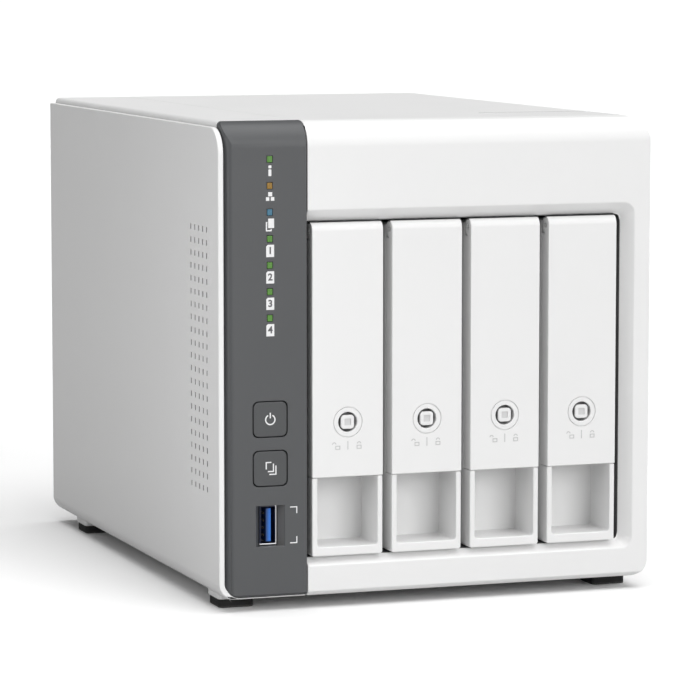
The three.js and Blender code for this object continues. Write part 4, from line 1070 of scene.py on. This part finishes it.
# Printed marks under each lock: open padlock, middle line, closed padlock
pale_ink = Paint("pale_ink")
pale_ink.finish(
    Base_Color=pale_ink.mix(pale_ink.noise(900, 2), tone(0.56, 0.56, 0.56), tone(0.64, 0.64, 0.64)),
    Roughness=0.5 + pale_ink.noise(1400) * 0.1,
    Normal=pale_ink.bump(pale_ink.noise(2500), 0.2, 0.01 * MM),
)
MARK_DROP = 8.0
MARK_OUT = 4.1
LINE = 0.32
PADLOCK_HALF = 0.9
SHACKLE_R = 0.62
SHACKLE_ASIDE = 1.3
mark_z = LOCK_Z - MARK_DROP


def padlock(x, aside):
    """The outline of a padlock's body at x, with its shackle over it or swung aside."""
    left, right, low, top = x - PADLOCK_HALF, x + PADLOCK_HALF, mark_z - 1.5, mark_z - 0.1
    return [
        block(left, right, top - LINE, top), block(left, right, low, low + LINE),
        block(left, left + LINE, low + LINE, top - LINE), block(right - LINE, right, low + LINE, top - LINE),
        arc(x - aside, top + 0.45, SHACKLE_R - LINE / 2, SHACKLE_R + LINE / 2, 0, 180, 10),
    ]


glyphs = padlock(LOCK_X + MARK_OUT, 0) + padlock(LOCK_X - MARK_OUT + 0.4, SHACKLE_ASIDE)
glyphs.append(block(LOCK_X - LINE / 2, LOCK_X + LINE / 2, mark_z - 1.6, mark_z + 1.4))
glyph_print = slab("bay_marks_1", glyphs, "y", *PRINT_Y)

# The drive: cast body, pressed lid on one face with its label, circuit board sunk in the other
DRIVE_LOW, DRIVE_HIGH = span("drive_1")
LID_SUNK = 0.8
LID_EDGE = 2.0
LID_ROUND = 7
PLUG_ROOM = 14
SPINDLE_Y = DRIVE_LOW.y + 52
SPINDLE_Z = (DRIVE_LOW.z + DRIVE_HIGH.z) / 2
SWELL_R = 38
HEAD_R = 2.4
HEAD_EDGE = 7
drive_body = soften(from_node("drive_1", "bay_drive_1"), 0.6)
shift(drive_body, lambda place: place.x > DRIVE_HIGH.x - 0.7, (-LID_SUNK, 0, 0))
lid_ring = rounded(
    DRIVE_LOW.y + LID_EDGE, DRIVE_HIGH.y - PLUG_ROOM,
    DRIVE_LOW.z + LID_EDGE, DRIVE_HIGH.z - LID_EDGE, LID_ROUND,
)
lid = soften(slab("lid", [lid_ring], "x", DRIVE_HIGH.x - LID_SUNK - 0.3, DRIVE_HIGH.x - 0.3), 0.35)
swell = bar("swell", "x", SPINDLE_Y, SPINDLE_Z, SWELL_R, DRIVE_HIGH.x - 0.6, DRIVE_HIGH.x - 0.12, 72)
lid_parts = [lid, soften(swell, 0.15, 2)]
for y in (DRIVE_LOW.y + HEAD_EDGE, DRIVE_HIGH.y - 20, SPINDLE_Y + 48):
    for z in (DRIVE_LOW.z + HEAD_EDGE, DRIVE_HIGH.z - HEAD_EDGE):
        head = bar("head", "x", y, z, HEAD_R, DRIVE_HIGH.x - 0.6, DRIVE_HIGH.x - 0.06, 20)
        lid_parts.append(soften(head, 0.1, 2))
lid = together("bay_drive_lid_1", lid_parts)
sticker_ring = rounded(SPINDLE_Y - 28, SPINDLE_Y + 44, SPINDLE_Z - 26, SPINDLE_Z + 26, 1.5)
sticker = slab("bay_drive_label_1", [sticker_ring], "x", DRIVE_HIGH.x - 0.14, DRIVE_HIGH.x - 0.04)
sticker = soften(sticker, 0.02, 1)
card_ring = block(DRIVE_LOW.y + 21, DRIVE_HIGH.y - 0.6, DRIVE_LOW.z + 8.6, DRIVE_LOW.z + 59.4)
card = soften(slab("bay_drive_board_1", [card_ring], "x", DRIVE_LOW.x + 1.0, DRIVE_LOW.x + 1.9), 0.1, 2)

# Chips on the board, given by their corner and size, and the plug at the drive's rear edge
CHIPS = ((40, 30, 14, 14), (62, 44, 10, 12), (88, 24, 8, 8), (70, 20, 6, 5), (104, 44, 12, 9))
chips = []
for y, z, wide, tall in CHIPS:
    y += DRIVE_LOW.y
    z += DRIVE_LOW.z
    chip = slab("chip", [block(y, y + wide, z, z + tall)], "x", DRIVE_LOW.x + 0.2, DRIVE_LOW.x + 1.1)
    chips.append(soften(chip, 0.12, 2))
plug_ring = block(DRIVE_HIGH.y - 9, DRIVE_HIGH.y - 0.3, DRIVE_LOW.z + 10, DRIVE_LOW.z + 46)
plug = slab("plug", [plug_ring], "x", DRIVE_LOW.x + 0.15, DRIVE_LOW.x + 1.1)
chips = together("bay_drive_chips_1", chips + [soften(plug, 0.2, 2)])

drive_metal = Paint("drive_metal")
cast = drive_metal.noise(420, 4, 0.65)
drive_metal.finish(
    Base_Color=drive_metal.mix(cast, tone(0.36, 0.365, 0.37), tone(0.5, 0.505, 0.51)),
    Metallic=0.85,
    Roughness=0.4 + cast * 0.2,
    Normal=drive_metal.bump(cast, 0.35, 0.08 * MM),
)
lid_steel = metal("lid_steel", (0.6, 0.61, 0.62), 0.32, (800, 60, 1600), 0.14)
label_paper = Paint("drive_label")
rules = label_paper.node("ShaderNodeTexWave", {"bands_direction": "Z"}, {
    "Vector": label_paper.place, "Scale": 75.0, "Distortion": 0.0
}, "Fac")
across_label = label_paper.along("Y").between((SPINDLE_Y - 20) * MM, (SPINDLE_Y + 30) * MM)
ruled = rules.above(0.9) * across_label
band = label_paper.along("Z").between((SPINDLE_Z + 14) * MM, (SPINDLE_Z + 22) * MM)
label_shade = label_paper.mix(ruled, tone(0.82, 0.82, 0.8), tone(0.35, 0.36, 0.37))
label_paper.finish(
    Base_Color=label_paper.mix(band, label_shade, tone(0.16, 0.3, 0.42)),
    Roughness=0.42 + label_paper.noise(600, 3) * 0.12,
    Normal=label_paper.bump(label_paper.noise(1500, 2), 0.15, 0.01 * MM),
)

# Each piece, the CAD node that it stands for, its body, slot and finish. Bays 2 to 4 are copies of bay 1
BAY_PIECES = (
    (tray, "tray", "tray", "white_plastic", white_plastic),
    (lever, "lever", "lever", "white_plastic", lever_white),
    (lock, "lock", "lock", "white_plastic", lock_paint.material),
    (pin, "lever_pin", "tray", "bright_steel", bright_steel),
    (glyph_print, "", "lever", "", pale_ink.material),
    (drive_body, "drive", "tray", "drive_metal", drive_metal.material),
    (lid, "", "tray", "drive_metal", lid_steel),
    (sticker, "", "tray", "", label_paper.material),
    (card, "", "tray", "circuit_board", board_green),
    (chips, "", "tray", "black_plastic", black_plastic),
)
BAY_STEPS = {bay: (span(f"tray_{bay}")[0].x - span("tray_1")[0].x, 0, 0) for bay in (2, 3, 4)}
for first, node, body, slot, material in BAY_PIECES:
    copies = [first] + [repeat(first, f"{first.name[:-1]}{bay}", step) for bay, step in BAY_STEPS.items()]
    for bay, piece in enumerate(copies, 1):
        nodes = [f"{node}_{bay}"] if node else []
        settle(piece, f"{body}_{bay}", slot, material, *nodes)
